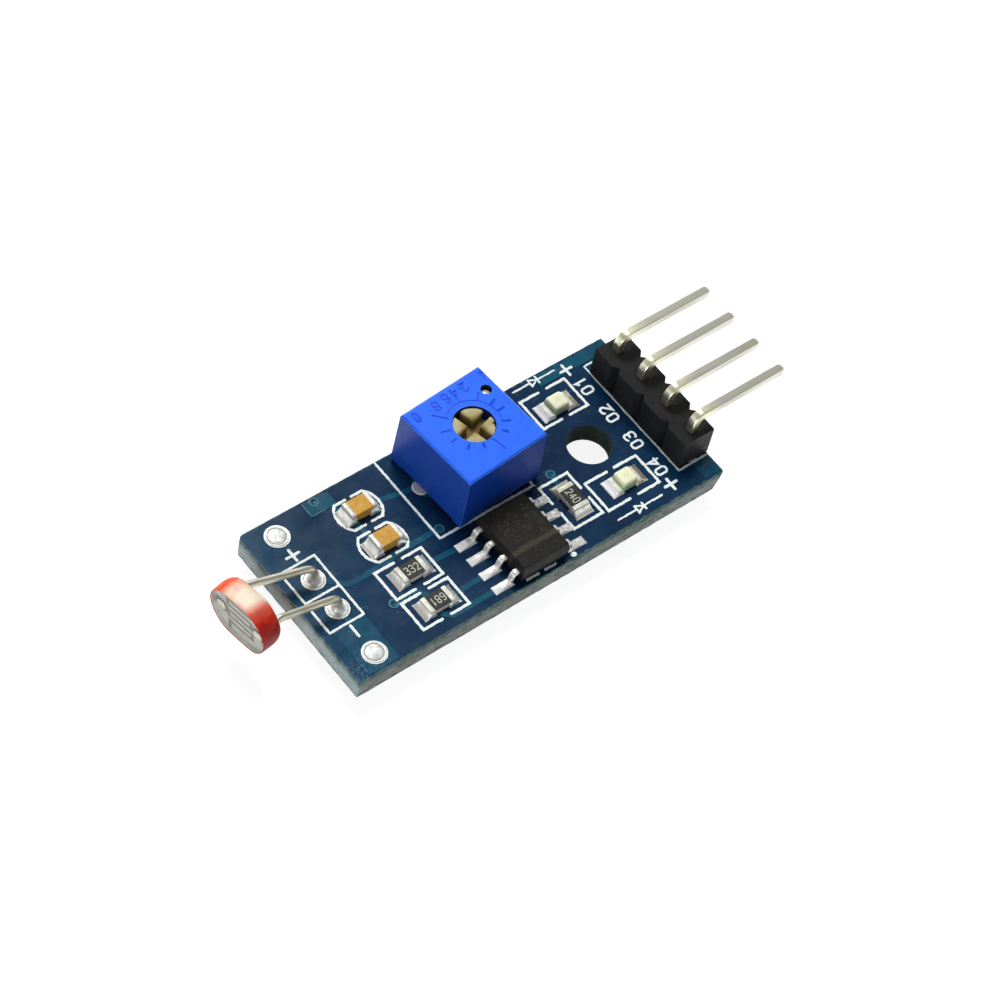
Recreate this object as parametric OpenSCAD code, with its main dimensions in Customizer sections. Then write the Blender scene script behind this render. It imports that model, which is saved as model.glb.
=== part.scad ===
// Light sensor module: a round light cell on two bent leads, a comparator that reads it against a
// trim potentiometer, two indicator lamps and a right-angle pin header on one small circuit board.
// The origin is the centre of the mounting hole on the underside of the board.
// +X points to the header, +Z out of the component side, and the header's row runs along Y.
// Heights of the parts are measured from the top of the board.

/* [Board] */
// Length along X
board_l = 30; // [28:0.5:40]
// Width along Y
board_w = 13; // [12.5:0.1:18]
// Thickness of the board
board_t = 1.6; // [1:0.1:2.4]
// Radius of the two rounded corners
corner_r = 0.5; // [0.2:0.1:1]
// Diameter of the mounting hole
hole_d = 3.1; // [2:0.1:3.6]
// Distance from the header end of the board to the mounting hole
hole_inset = 6.3; // [6:0.1:8]

/* [Copper] */
// Thickness of the copper on both faces
foil = 0.035; // [0.018:0.001:0.07]
// Thickness of the copper in a plated hole
plate = 0.03; // [0.02:0.01:0.06]
// Width of the copper ring round a hole
ring = 0.4; // [0.2:0.05:0.5]
// Room round a pin in its hole, measured across
drill_room = 0.3; // [0.1:0.05:0.5]
// Bare rim between the copper and the board's edges
copper_edge = 0.2; // [0.1:0.05:0.5]
// Width of a signal track
track_w = 0.4; // [0.2:0.05:0.6]
// Diameter of a through connection
via_d = 0.35; // [0.2:0.05:0.5]
// Width of the ring round a through connection
via_ring = 0.17; // [0.1:0.01:0.25]
// Distance from the sensor end to the two filled test holes
test_inset = 2.2; // [1.5:0.1:3]
// Distance from each long edge to its test hole
test_edge = 1.38; // [1.2:0.01:1.8]
// Diameter of a test hole
test_d = 0.9; // [0.6:0.1:1.2]
// Length of the pins and leads below the board
tail = 1.2; // [0.8:0.1:2.4]
// Height of the solder cones below the board
cone_h = 0.75; // [0.3:0.05:0.8]
// Height of the solder on a test hole, on both faces
test_solder_h = 0.12; // [0.05:0.01:0.2]
// Bare rim of a ring round its solder
solder_rim = 0.06; // [0.02:0.01:0.1]

/* [Light cell] */
// Diameter of the disc
cell_d = 5; // [4.6:0.1:6.4]
// Height of the disc across its two flats
cell_flat = 4.4; // [3.8:0.1:4.5]
// Thickness of the disc
cell_t = 1.7; // [1.6:0.1:3]
// Thickness of the coloured resin round the rim and behind
cell_coat = 0.2; // [0.1:0.05:0.3]
// Thickness of the clear resin in front
cell_glass = 0.3; // [0.2:0.05:0.5]
// Thickness of the films on the face
cell_film = 0.04; // [0.02:0.01:0.08]
// Number of strokes in the folded sensing line
cell_strokes = 5; // [3:2:5]
// Length of a stroke
cell_stroke_l = 2.1; // [1.6:0.1:2.2]
// Distance between strokes
cell_stroke_gap = 0.6; // [0.5:0.05:0.65]
// Width of the sensing line
cell_line_w = 0.26; // [0.15:0.01:0.35]
// Distance from the sensor end to the cell's holes
cell_inset = 2.2; // [1.8:0.1:3]
// Distance between the cell's holes
cell_hole_gap = 2.54; // [2.4:0.02:3]
// Distance between the leads at the disc
cell_lead_gap = 3.3; // [3:0.1:3.4]
// Diameter of a lead
lead_d = 0.5; // [0.4:0.05:0.6]
// Radius of the bends along the middle of a lead
lead_bend = 0.8; // [0.5:0.1:0.9]
// Height of the far lead's upper bend
lead_rise_far = 1.4; // [1.3:0.05:3]
// Height of the near lead's upper bend
lead_rise_near = 1.3; // [1.3:0.05:3]
// Straight length of a lead behind the disc
lead_straight = 0.4; // [0.3:0.1:1]
// Diameter of the flat head on a lead's end
lead_head_d = 0.8; // [0.7:0.05:1]
// Thickness of the flat head
lead_head_t = 0.1; // [0.05:0.01:0.15]
// Distance of the disc beyond the sensor end
cell_reach = 3.56; // [3:0.01:6]
// Distance of the disc from the board's centre line
cell_shift = 0.63; // [-0.8:0.01:0.8]
// Height of the disc's centre
cell_height = 1.73; // [1.5:0.01:3]
// Roll, nod and swing of the disc on its leads, in degrees
cell_turn = [-5.6, -5.7, 6.8]; // [-12:0.1:12]
// Height of the solder round a lead on the component side
cell_fillet = 0.35; // [0.2:0.05:0.4]

/* [Trim potentiometer] */
// Distance along X from the mounting hole to the rotor
pot_x = -8.19; // [-8.4:0.01:-7.6]
// Gap between the comparator's end and the top of the housing
pot_gap = 0.855; // [0.8:0.005:1]
// Turn of the whole potentiometer, in degrees
pot_turn = 4; // [-5:1:5]
// Width and depth at the top of the housing
pot_w = 6.66; // [6.4:0.02:7.2]
// Height of the housing's top
pot_h = 4.88; // [4.6:0.02:6]
// Height of the feet under the housing
pot_feet = 0.31; // [0.2:0.01:0.5]
// Growth of each side towards the bottom
pot_draft = 0.07; // [0:0.01:0.12]
// Width of the bevel round the top
pot_bevel = 0.14; // [0.05:0.01:0.3]
// Thickness of the side walls
pot_wall = 0.5; // [0.4:0.05:0.6]
// Thickness of the top plate
pot_top = 0.98; // [0.7:0.02:1.2]
// Diameter of the turning neck
neck_d = 2.75; // [2.2:0.05:3.2]
// Diameter of the rotor's disc
rotor_d = 4.6; // [4.4:0.1:4.8]
// Thickness of the rotor's disc
rotor_t = 0.98; // [0.8:0.02:1.1]
// Gap between the turning parts and what holds them
rotor_fit = 0.045; // [0.02:0.005:0.08]
// Depth of the neck's face below the housing's top
neck_recess = 0.15; // [0.05:0.01:0.3]
// Width of the driver slots
slot_w = 0.56; // [0.4:0.02:0.7]
// Depth of the driver slots
slot_h = 0.8; // [0.4:0.05:1.2]
// Width of the bevel along the driver slots
slot_bevel = 0.12; // [0:0.01:0.2]
// Angle of the driver slots in the housing as set, in degrees
slot_angle = 10; // [-100:5:100]
// Room round the rotor's disc in its well
rotor_room = 0.15; // [0.1:0.01:0.3]
// Width of the pointer notch in the neck's rim
pointer_w = 0.4; // [0.2:0.05:0.5]
// Depth of the pointer notch, inwards and down
pointer_h = 0.16; // [0.1:0.01:0.25]
// Angle from a driver slot to the pointer notch, in degrees
pointer_angle = -42; // [-60:1:-30]
// Diameter of the round section of the seal
seal_d = 0.6; // [0.5:0.02:0.62]
// Thickness of the resin that closes the bottom
pot_fill = 0.8; // [0.6:0.05:1]
// Depth of the resin's face above the housing's lower edge
fill_recess = 0.09; // [0:0.01:0.2]
// Thickness of the ceramic element
element_t = 0.6; // [0.4:0.05:0.8]
// Room round the ceramic element in the housing
element_fit = 0.03; // [0.01:0.01:0.1]
// Thickness of the resistance film
film_t = 0.04; // [0.02:0.01:0.08]
// Inner radius of the resistance film
film_in = 1.7; // [1.5:0.05:1.8]
// Outer radius of the resistance film
film_out = 2.25; // [2.1:0.05:2.35]
// Swept angle of the resistance film, in degrees
film_sweep = 270; // [240:5:300]
// Radius of the round contact area in the middle of the film
film_middle = 0.6; // [0.4:0.05:0.9]
// Width of the contact spring's arm
arm_w = 0.7; // [0.5:0.05:0.9]
// Radius of the contact spring's round middle
spring_r = 0.9; // [0.6:0.05:1.2]
// Thickness of the contact spring
spring_t = 0.15; // [0.1:0.01:0.2]
// Diameter of a contact
contact_d = 0.4; // [0.3:0.05:0.5]
// Distance along the housing between the rotor and its outer terminals
pin_reach = 2.54; // [2.3:0.02:2.6]
// Distance of the outer terminals behind the rotor
pin_shift = 0.5; // [0:0.05:0.6]
// Distance from the outer terminals forward to the middle one
pin_depth = 2.54; // [2.4:0.02:2.7]
// Width of the copper ring round a terminal's hole
pot_ring = 0.8; // [0.4:0.05:0.85]
// Diameter of a terminal
terminal_d = 0.5; // [0.4:0.05:0.6]
// Diameter of the inspection hole in the top
peep_d = 0.75; // [0.5:0.05:0.8]
// Place of the inspection hole from the rotor
peep_at = [2.46, 1.6]; // [1.5:0.02:2.5]

/* [Comparator] */
// Distance along X from the mounting hole to the comparator
chip_x = -8.76; // [-9:0.01:-8.4]
// Distance of the comparator from the board's centre line
chip_y = -3.725; // [-3.8:0.005:-3.6]
// Width of the body
chip_w = 3.9; // [3.8:0.05:4]
// Length of the body
chip_l = 4.9; // [4.8:0.05:5.1]
// Height of the body's top
chip_h = 1.6; // [1.4:0.05:1.75]
// Gap under the body
chip_lift = 0.2; // [0.1:0.05:0.3]
// Draft of the body's sides
chip_draft = 0.14; // [0.05:0.01:0.2]
// Distance between neighbouring leads
chip_pitch = 1.27; // [1.2:0.01:1.3]
// Distance across the lead tips
chip_span = 6; // [5.9:0.05:6.2]
// Width of a lead
gull_w = 0.41; // [0.3:0.01:0.5]
// Thickness of a lead
gull_t = 0.2; // [0.15:0.01:0.25]
// Height of the leads where they leave the body
gull_z = 0.92; // [0.8:0.01:1]
// Radius of the lead bends along the middle
gull_bend = 0.22; // [0.15:0.01:0.25]
// Length of a lead inside the body
gull_root = 0.5; // [0.3:0.05:0.8]
// Level length of a lead outside the body
gull_level = 0.32; // [0.28:0.01:0.4]
// Length along X of a lead's slope
gull_slope = 0.2; // [0.1:0.01:0.25]
// Distance across the solder pads
chip_pad_span = 7.43; // [7.2:0.01:7.6]
// Length of a solder pad
chip_pad_l = 1.5; // [1.2:0.05:1.8]
// Width of a solder pad
chip_pad_w = 0.64; // [0.5:0.02:0.7]
// Height of the solder before a lead's tip
chip_climb = 0.28; // [0.2:0.01:0.4]

/* [Small chips] */
// Length of every small chip
smd_l = 2; // [1.8:0.05:2.2]
// Width of every small chip
smd_w = 1.25; // [1.1:0.05:1.4]
// Length of a metal end
smd_end = 0.36; // [0.25:0.01:0.5]
// Thickness of the metal on the ends
smd_skin = 0.04; // [0.02:0.01:0.08]
// Height of a resistor
resistor_h = 0.5; // [0.4:0.05:0.65]
// Height of a capacitor
capacitor_h = 0.85; // [0.6:0.05:1.2]
// Height of a lamp's board
lamp_base = 0.3; // [0.25:0.05:0.4]
// Height of a whole lamp
lamp_h = 0.8; // [0.7:0.05:1.1]
// Length of the lens at its top
lamp_lens_l = 1.0; // [0.8:0.05:1.1]
// Side of the light-emitting square
lamp_die = 0.28; // [0.2:0.01:0.35]
// Distance from the sensor end to the row of four chips
row_inset = 7.68; // [7.4:0.02:8]
// Places of the capacitors across the board
capacitor_y = [3.9, 1.07]; // [1:0.01:4]
// Places of the row's resistors across the board
resistor_y = [-1.67, -4.38]; // [-4.5:0.01:-1.5]
// Place of the lamp resistor from the mounting hole
lamp_resistor_at = [-3.8, -2.83]; // [-4:0.01:-2.6]
// Places of the lamps along the board, from the mounting hole
lamp_x = [0.03, 0.05]; // [-0.3:0.01:0.3]
// Places of the lamps across the board
lamp_y = [3.58, -3.55]; // [-4:0.01:4]
// Distance across a small chip's solder pads
smd_pad_span = 2.9; // [2.7:0.05:3.1]
// Width of a small chip's solder pads
smd_pad_w = 1.46; // [1.3:0.02:1.6]
// Gap between a small chip's two pads
smd_pad_gap = 1; // [0.8:0.05:1.2]
// Height of the solder at a metal end, as a share of the end's height
smd_climb = 0.8; // [0.4:0.05:1]

/* [Header] */
// Number of pins
pins = 4; // [2:1:5]
// Distance between pins
pitch = 2.54; // [2.5:0.01:2.6]
// Width of a square pin
pin_w = 0.6; // [0.5:0.02:0.7]
// Height of the plastic body
header_h = 2.5; // [2:0.1:3]
// Plastic beyond the outer pins
header_end_w = 0.82; // [0.7:0.02:1.27]
// Depth of the notches between pins
notch = 0.38; // [0.2:0.02:0.5]
// Height of the pins' level run above the board
pin_height = 3.75; // [3.6:0.05:6]
// Radius of the bend along the middle of a pin
pin_bend = 0.6; // [0.45:0.05:0.9]
// Distance from the board's end to the pin tips
pin_out = 6.35; // [4:0.05:9]
// Width of the bevel at the pin tips
tip_bevel = 0.14; // [0.05:0.01:0.2]
// Diameter of the ring sunk round a pin
well_d = 1.16; // [1:0.02:1.3]
// Depth of the sunk ring
well_h = 0.05; // [0.03:0.01:0.3]

/* [Hidden] */
$fn = 48;
// Overlong cuts pass each face by this much
past = 0.1;
// Bare width round a hole on the underside, measured across
copper_gap = 0.6;
// Bare width round the mounting hole, measured across
washer_room = 1;
sensor_end = hole_inset - board_l;
pot_y = chip_y + chip_l / 2 + pot_gap + pot_w / 2;
header_end = hole_inset;
seat = board_t + foil;
row_x = sensor_end + row_inset;
chip_rows = [for (i = [0:3]) (i - 1.5) * chip_pitch];
pin_x = header_end - pitch / 2;
cell_holes = [for (s = [1, -1]) [sensor_end + cell_inset, s * cell_hole_gap / 2]];
test_holes = [for (s = [1, -1]) [sensor_end + test_inset, s * (board_w / 2 - test_edge)]];
pin_holes = [for (i = [0:pins - 1]) [pin_x, (i - (pins - 1) / 2) * pitch]];
terminal_spots = [[pin_reach, pin_shift], [0, pin_shift - pin_depth], [-pin_reach, pin_shift]];
terminal_holes = [for (p = terminal_spots) pot_point(p)];
// Through connections: in the square patch, beside the resistors, at the potentiometer and by
// the resistor of the lamps
patch_via = [sensor_end + 5.72, board_w / 2 - 0.48];
row_via = [row_x - 2.29, -2.92];
middle_via = [pot_x - 4.24, 0.04];
lamp_via = [lamp_resistor_at.x + 0.1, lamp_resistor_at.y + 2.33];
// Length by which a track runs into the pad that it joins
pad_lap = 0.1;
row_pad_x = row_x + smd_pad_span / 2 - pad_lap;
chip_pad_x = chip_x - chip_pad_span / 2 + chip_pad_l / 2;
low_track_y = chip_y + chip_rows[0];
// The signal of the cell: from its far hole along the middle of the board to the potentiometer
signal_line = [
    cell_holes[0],
    [cell_holes[0].x + 1.7, -0.25],
    [row_x - 0.7, -0.25],
    [row_x - 0.1, 0.04],
    middle_via
];
// From the through connection beside the resistors, under the lower one and on to the comparator
low_line = [
    row_via,
    [row_x - 0.7, row_via.y],
    [row_x - 0.2, row_via.y - 0.5],
    [row_x - 0.2, low_track_y + 0.5],
    [row_x + 0.3, low_track_y],
    [chip_pad_x, low_track_y]
];
// Filled areas: near corner of the sensor end, square patch and both corners of the header end
ground_area = [2.45, 3.7];
patch = [1.78, 1.2];
patch_x = sensor_end + 4.89;
supply_area = [5.9, 0.9];
corner_area_w = 1.3;
via_holes = [patch_via, row_via, middle_via, lamp_via];
cell_drill = lead_d + drill_room;
terminal_drill = terminal_d + drill_room;
pin_drill = pin_w * sqrt(2) + drill_room / 2;
// Every plated hole: place, drilled diameter and copper diameter
plated = concat(
    [for (p = cell_holes) [p, cell_drill, cell_drill + 2 * ring]],
    [for (p = terminal_holes) [p, terminal_drill, terminal_drill + 2 * pot_ring]],
    [for (p = pin_holes) [p, pin_drill, pin_drill + 2 * ring]],
    [for (p = test_holes) [p, test_d, test_d + 2 * ring]],
    [for (p = via_holes) [p, via_d, via_d + 2 * via_ring]]
);
// Every two-ended small chip: place, turn and height of its metal ends
chips = concat(
    [for (y = capacitor_y) [[row_x, y], 0, capacitor_h]],
    [for (y = resistor_y) [[row_x, y], 0, resistor_h]],
    [[lamp_resistor_at, 90, resistor_h]],
    [for (i = [0, 1]) [[lamp_x[i], lamp_y[i]], 0, lamp_base]]
);
// Levels inside the potentiometer, above the board
fill_z = pot_feet + fill_recess;
element_z = fill_z + pot_fill;
film_z = element_z + element_t;
plate_z = pot_h - pot_top;
rotor_top = plate_z - seal_d - rotor_fit / 2;
rotor_z = rotor_top - rotor_t;
cavity_w = pot_w - 2 * pot_wall;
element_w = cavity_w - 2 * element_fit;
neck_hole_d = neck_d + 2 * rotor_fit;
well_r = rotor_d / 2 + rotor_room;
terminal_head_d = cavity_w - 2 * pin_reach;
terminal_head_t = 0.15;
// Depths inside the light cell, along its axis from the middle of the disc
face_x = cell_glass - cell_t / 2;
ceramic_x = face_x + cell_film;
back_x = cell_t / 2 - cell_coat;
core_d = cell_d - 2 * cell_coat;
core_flat = cell_flat - 2 * cell_coat;
lead_rises = [lead_rise_far, lead_rise_near];
lead_sides = [1, -1];

// A direction of length one
function unit(v) = v / norm(v);
// A point of the potentiometer, as seen from the board
function pot_point(p) = [
    pot_x + p.x * cos(pot_turn) - p.y * sin(pot_turn),
    pot_y + p.x * sin(pot_turn) + p.y * cos(pot_turn)
];
// A vector turned about X, then Y, then Z
function turned_x(v, a) = [v.x, v.y * cos(a) - v.z * sin(a), v.y * sin(a) + v.z * cos(a)];
function turned_y(v, a) = [v.x * cos(a) + v.z * sin(a), v.y, v.z * cos(a) - v.x * sin(a)];
function turned_z(v, a) = [v.x * cos(a) - v.y * sin(a), v.x * sin(a) + v.y * cos(a), v.z];
function turned(v, a) = turned_z(turned_y(turned_x(v, a.x), a.y), a.z);
// A point of the light cell, as seen from the board
function cell_centre() = [sensor_end - cell_reach, cell_shift, board_t + cell_height];
function cell_point(p) = cell_centre() + turned(p, cell_turn);
// The corner points of a lead's middle line, from its lower end to the face of the disc
function lead_points(i) = [
    [cell_holes[i].x, cell_holes[i].y, -tail],
    [cell_holes[i].x, cell_holes[i].y, board_t + lead_rises[i]],
    cell_point([cell_t / 2 + lead_straight, lead_sides[i] * cell_lead_gap / 2, 0]),
    cell_point([face_x - lead_head_t / 2, lead_sides[i] * cell_lead_gap / 2, 0])
];
// The side of a bent path at one of its corners, mitred, half a width from its middle line
function path_normal(points, i) =
    let (
        here = points[i],
        before = i > 0 ? unit(here - points[i - 1]) : unit(points[i + 1] - here),
        after = i < len(points) - 1 ? unit(points[i + 1] - here) : before,
        sum = [-before.y - after.y, before.x + after.x]
    )
    2 * sum / (sum * sum);

// A square bar whose sides lean in towards the top and the bottom, from half-width profiles
module leaning_block(profile_x, profile_y, length_x, length_y) {
    intersection() {
        translate([0, length_y, 0]) rotate([90, 0, 0])
            linear_extrude(2 * length_y) mirrored_profile(profile_x);
        translate([-length_x, 0, 0]) rotate([90, 0, 90])
            linear_extrude(2 * length_x) mirrored_profile(profile_y);
    }
}

module mirrored_profile(points) {
    last = len(points) - 1;
    polygon(concat(points, [for (i = [last:-1:0]) [-points[i].x, points[i].y]]));
}

// A flat strip along a bent path
module strip(points, width) {
    last = len(points) - 1;
    right = [for (i = [0:last]) points[i] - path_normal(points, i) * width / 2];
    left = [for (i = [last:-1:0]) points[i] + path_normal(points, i) * width / 2];
    polygon(concat(right, left));
}

// The middle line of a bent wire as places with their directions, rounded at each inner corner
function wire_line(points, bend) =
    let (
        last = len(points) - 1,
        ways = [for (i = [0:last - 1]) unit(points[i + 1] - points[i])]
    )
    concat(
        [[points[0], ways[0]]],
        [for (i = [1:last - 1]) each wire_bend(points[i], ways[i - 1], ways[i], bend)],
        [[points[last], ways[last - 1]]]
    );
function wire_bend(corner, before, after, bend) =
    let (
        angle = acos(before * after),
        inward = unit(after - (before * after) * before),
        start = corner - before * bend * tan(angle / 2),
        steps = ceil(angle / 11)
    )
    [for (k = [0:steps]) let (a = angle * k / steps)
        [start + bend * (inward * (1 - cos(a)) + before * sin(a)), before * cos(a) + inward * sin(a)]];
// A direction across each part of the line, carried along it without twist
function wire_sides(line, i, side) =
    i == len(line) ? [] :
    let (across = unit(side - (side * line[i][1]) * line[i][1]))
    concat([across], wire_sides(line, i + 1, across));

// A round wire along a bent path
module wire(points, d, bend) {
    n = 20;
    line = wire_line(points, bend);
    sides = wire_sides(line, 0, [0, 1, 0]);
    rings = len(line);
    corners = [for (i = [0:rings - 1], k = [0:n - 1])
        let (other = cross(line[i][1], sides[i]))
        line[i][0] + d / 2 * (cos(360 * k / n) * sides[i] + sin(360 * k / n) * other)];
    walls = [for (i = [0:rings - 2], k = [0:n - 1])
        [i * n + k, (i + 1) * n + k, (i + 1) * n + (k + 1) % n, i * n + (k + 1) % n]];
    ends = [[for (k = [0:n - 1]) k], [for (k = [n - 1:-1:0]) (rings - 1) * n + k]];
    polyhedron(corners, concat(walls, ends));
}

// A quarter-hollow fillet against a wall at x = 0, seen from the side
module fillet_profile(reach, rise) {
    steps = 5;
    polygon(concat(
        [[0, 0]],
        [for (i = [0:steps]) [reach * pow(1 - i / steps, 2), rise * pow(i / steps, 2)]]
    ));
}

// Solder that fills a plated hole, with a cone below and an optional fillet above
module hole_solder(p, drill, width, below, above) {
    bore = drill / 2 - plate;
    edge = drill / 2 + width - solder_rim;
    foot = drill / 2 + width / 2;
    tip = bore - plate / 2;
    rotate_about(p) rotate_extrude() polygon(concat(
        [[0, -foil - below], [tip * 0.8, -foil - below]],
        [[tip, -foil - below / 2], [foot, -foil - below / 6], [edge, -foil]],
        [[bore, -foil], [bore, seat]],
        above > 0 ? [[edge, seat], [foot, seat + above / 3], [tip, seat + above * 3 / 4]] : [],
        above > 0 ? [[tip * 0.7, seat + above], [0, seat + above]] : [[0, seat]]
    ));
}

module rotate_about(p) {
    translate([p.x, p.y, 0]) children();
}

module at_chip(i) {
    translate([chips[i][0].x, chips[i][0].y, seat]) rotate(chips[i][1]) children();
}

module at_pot() {
    translate([pot_x, pot_y, board_t]) rotate(pot_turn) children();
}

module at_cell() {
    translate(cell_centre()) rotate(cell_turn) rotate([0, 90, 0]) rotate(90) children();
}

module at_comparator() {
    translate([chip_x, chip_y, seat]) children();
}

// Board

module corner_cut(side_x, side_y) {
    end = side_x > 0 ? header_end : sensor_end;
    middle = [end - side_x * corner_r, side_y * (board_w / 2 - corner_r)];
    difference() {
        translate([middle.x + (side_x > 0 ? 0 : -corner_r), middle.y + (side_y > 0 ? 0 : -corner_r)])
            square(corner_r);
        translate(middle) circle(corner_r);
    }
}

module outline() {
    difference() {
        translate([sensor_end, -board_w / 2]) square([board_l, board_w]);
        corner_cut(-1, 1);
        corner_cut(1, -1);
    }
}

module board() {
    color("#17324d") difference() {
        linear_extrude(board_t) outline();
        translate([0, 0, -past]) cylinder(d = hole_d, h = board_t + 2 * past);
        for (hole = plated) {
            translate([hole[0].x, hole[0].y, -past]) cylinder(d = hole[1], h = board_t + 2 * past);
        }
    }
}

module plated_holes() {
    color("#c9c9c4") for (hole = plated) {
        bore = hole[1] / 2;
        edge = hole[2] / 2;
        rotate_about(hole[0]) rotate_extrude() polygon([
            [bore - plate, -foil],
            [edge, -foil],
            [edge, 0],
            [bore, 0],
            [bore, board_t],
            [edge, board_t],
            [edge, seat],
            [bore - plate, seat]
        ]);
    }
}

// Flat areas of the solder pads under the chips
module pad_areas() {
    for (chip = chips) {
        translate(chip[0]) rotate(chip[1]) for (s = [0, 180]) {
            rotate(s) translate([smd_pad_gap / 2, -smd_pad_w / 2])
                square([(smd_pad_span - smd_pad_gap) / 2, smd_pad_w]);
        }
    }
    translate([chip_x, chip_y]) for (s = [0, 180], y = chip_rows) {
        rotate(s) translate([chip_pad_span / 2 - chip_pad_l, y - chip_pad_w / 2])
            square([chip_pad_l, chip_pad_w]);
    }
}

module solder_pads() {
    color("#c9c9c4") translate([0, 0, board_t]) linear_extrude(foil) pad_areas();
}

// Tracks and filled areas of copper on the component side
module copper_paths() {
    far_edge = board_w / 2 - copper_edge;
    strip(signal_line, track_w);
    strip(low_line, track_w);
    for (i = [0, 1]) {
        strip([cell_holes[i], test_holes[i]], track_w);
    }
    strip([[row_pad_x, resistor_y[0]], [chip_pad_x, chip_y + chip_rows[3]]], track_w);
    strip([[row_pad_x, resistor_y[1]], [chip_pad_x, chip_y + chip_rows[1]]], track_w);
    strip([[row_pad_x, capacitor_y[0]], terminal_holes[2]], track_w);
    inner_x = row_x - smd_pad_gap / 2 - pad_lap;
    strip([[inner_x, capacitor_y[0]], [inner_x, capacitor_y[1]]], track_w);
    outer_x = row_x - (smd_pad_gap + smd_pad_span) / 4;
    strip([[outer_x, capacitor_y[0]], [outer_x, far_edge - pad_lap]], track_w);
    strip([lamp_via, lamp_resistor_at + [0, smd_pad_gap]], track_w);
    strip([pin_holes[pins - 1], [pin_x, far_edge]], 2 * track_w);
    translate([sensor_end + cell_inset - ground_area.x / 2 - track_w / 4, -far_edge]) square(ground_area);
    translate([patch_x, far_edge - patch.y]) square(patch);
    translate([header_end - copper_edge - supply_area.x, far_edge - supply_area.y]) square(supply_area);
    translate([header_end - copper_edge - corner_area_w, -far_edge])
        square([corner_area_w, pin_holes[0].y + far_edge]);
}

module copper_top() {
    color("#1f6f85") translate([0, 0, board_t]) linear_extrude(foil) difference() {
        copper_paths();
        pad_areas();
        for (hole = plated) {
            translate(hole[0]) circle(d = hole[2]);
        }
        circle(d = hole_d + washer_room);
    }
}

// One filled area of copper over the underside, clear of every hole and ending at the row of pins
module copper_bottom() {
    edge = 2 * copper_edge;
    color("#1d5a70") translate([0, 0, -foil]) linear_extrude(foil) difference() {
        translate([sensor_end + edge, -board_w / 2 + edge])
            square([pin_x - sensor_end - edge, board_w - 2 * edge]);
        for (hole = plated) {
            translate(hole[0]) circle(d = hole[2] + copper_gap);
        }
        circle(d = hole_d + washer_room);
    }
}

// Solder

module solder_chips() {
    color("#b9b9b6") for (i = [0:len(chips) - 1]) {
        reach = (smd_pad_span - smd_l) / 2;
        at_chip(i) for (s = [0, 180]) {
            rotate(s) translate([smd_l / 2, smd_pad_w / 2, 0]) rotate([90, 0, 0])
                linear_extrude(smd_pad_w) fillet_profile(reach, chips[i][2] * smd_climb);
        }
    }
}

module solder_comparator() {
    reach = (chip_pad_span - chip_span) / 2;
    color("#d5d5d2") at_comparator() for (s = [0, 180], y = chip_rows) {
        rotate(s) translate([chip_span / 2, y + chip_pad_w / 2, 0]) rotate([90, 0, 0])
            linear_extrude(chip_pad_w) fillet_profile(reach, chip_climb);
    }
}

module solder_header() {
    color("#b9b9b6") difference() {
        for (p = pin_holes) {
            hole_solder(p, pin_drill, ring, cone_h, 0);
        }
        for (i = [1:pins]) {
            pin_shape(i);
        }
    }
}

module solder_trimpot() {
    color("#b9b9b6") difference() {
        for (p = terminal_holes) {
            hole_solder(p, terminal_drill, pot_ring, cone_h, 0);
        }
        for (i = [1:3]) {
            terminal_shape(i);
        }
    }
}

module solder_cell() {
    color("#b9b9b6") difference() {
        for (p = cell_holes) {
            hole_solder(p, cell_drill, ring, cone_h, cell_fillet);
        }
        for (i = [0, 1]) {
            lead_foot(i);
        }
    }
}

module solder_test_holes() {
    color("#c9c9c4") for (p = test_holes) {
        hole_solder(p, test_d, ring, test_solder_h, test_solder_h);
    }
}

// Light cell

module cell_disc(d, flat, z, h) {
    intersection() {
        translate([0, 0, z]) cylinder(d = d, h = h);
        translate([-d, -flat / 2, z - past]) cube([2 * d, flat, h + 2 * past]);
    }
}

module at_lead_ends() {
    for (s = lead_sides) {
        translate([s * cell_lead_gap / 2, 0, 0]) children();
    }
}

module lead_holes(d) {
    at_lead_ends() translate([0, 0, -cell_t]) cylinder(d = d, h = 2 * cell_t);
}

// The folded line as a flat shape, from one flat of the disc to the other
module folded_line() {
    half = cell_stroke_l / 2;
    top = (cell_strokes - 1) / 2 * cell_stroke_gap;
    for (i = [0:cell_strokes - 1]) {
        y = top - i * cell_stroke_gap;
        translate([-half - cell_line_w / 2, y - cell_line_w / 2])
            square([cell_stroke_l + cell_line_w, cell_line_w]);
    }
    for (i = [0:cell_strokes]) {
        side = i % 2 == 0 ? -half : half;
        upper = i == 0 ? core_flat / 2 : top - (i - 1) * cell_stroke_gap;
        lower = i == cell_strokes ? -core_flat / 2 : top - i * cell_stroke_gap;
        translate([side - cell_line_w / 2, lower]) square([cell_line_w, upper - lower]);
    }
}

module face_outline() {
    intersection() {
        circle(d = core_d);
        square([2 * core_d, core_flat], center = true);
    }
}

module cell_ceramic() {
    color("#e8e4da") at_cell() difference() {
        cell_disc(core_d, core_flat, ceramic_x, back_x - ceramic_x);
        lead_holes(lead_d);
    }
}

module cell_electrodes() {
    color("#a7aaa4") at_cell() difference() {
        translate([0, 0, face_x]) linear_extrude(cell_film) difference() {
            face_outline();
            folded_line();
        }
        lead_holes(lead_d);
    }
}

module cell_line() {
    color("#7d6a5c") at_cell() translate([0, 0, face_x]) linear_extrude(cell_film) intersection() {
        face_outline();
        folded_line();
    }
}

module cell_window() {
    color("#b4b8b0") at_cell() difference() {
        cell_disc(core_d, core_flat, -cell_t / 2, cell_glass);
        at_lead_ends() translate([0, 0, face_x - lead_head_t])
            cylinder(d = lead_head_d, h = lead_head_t + past);
    }
}

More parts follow.
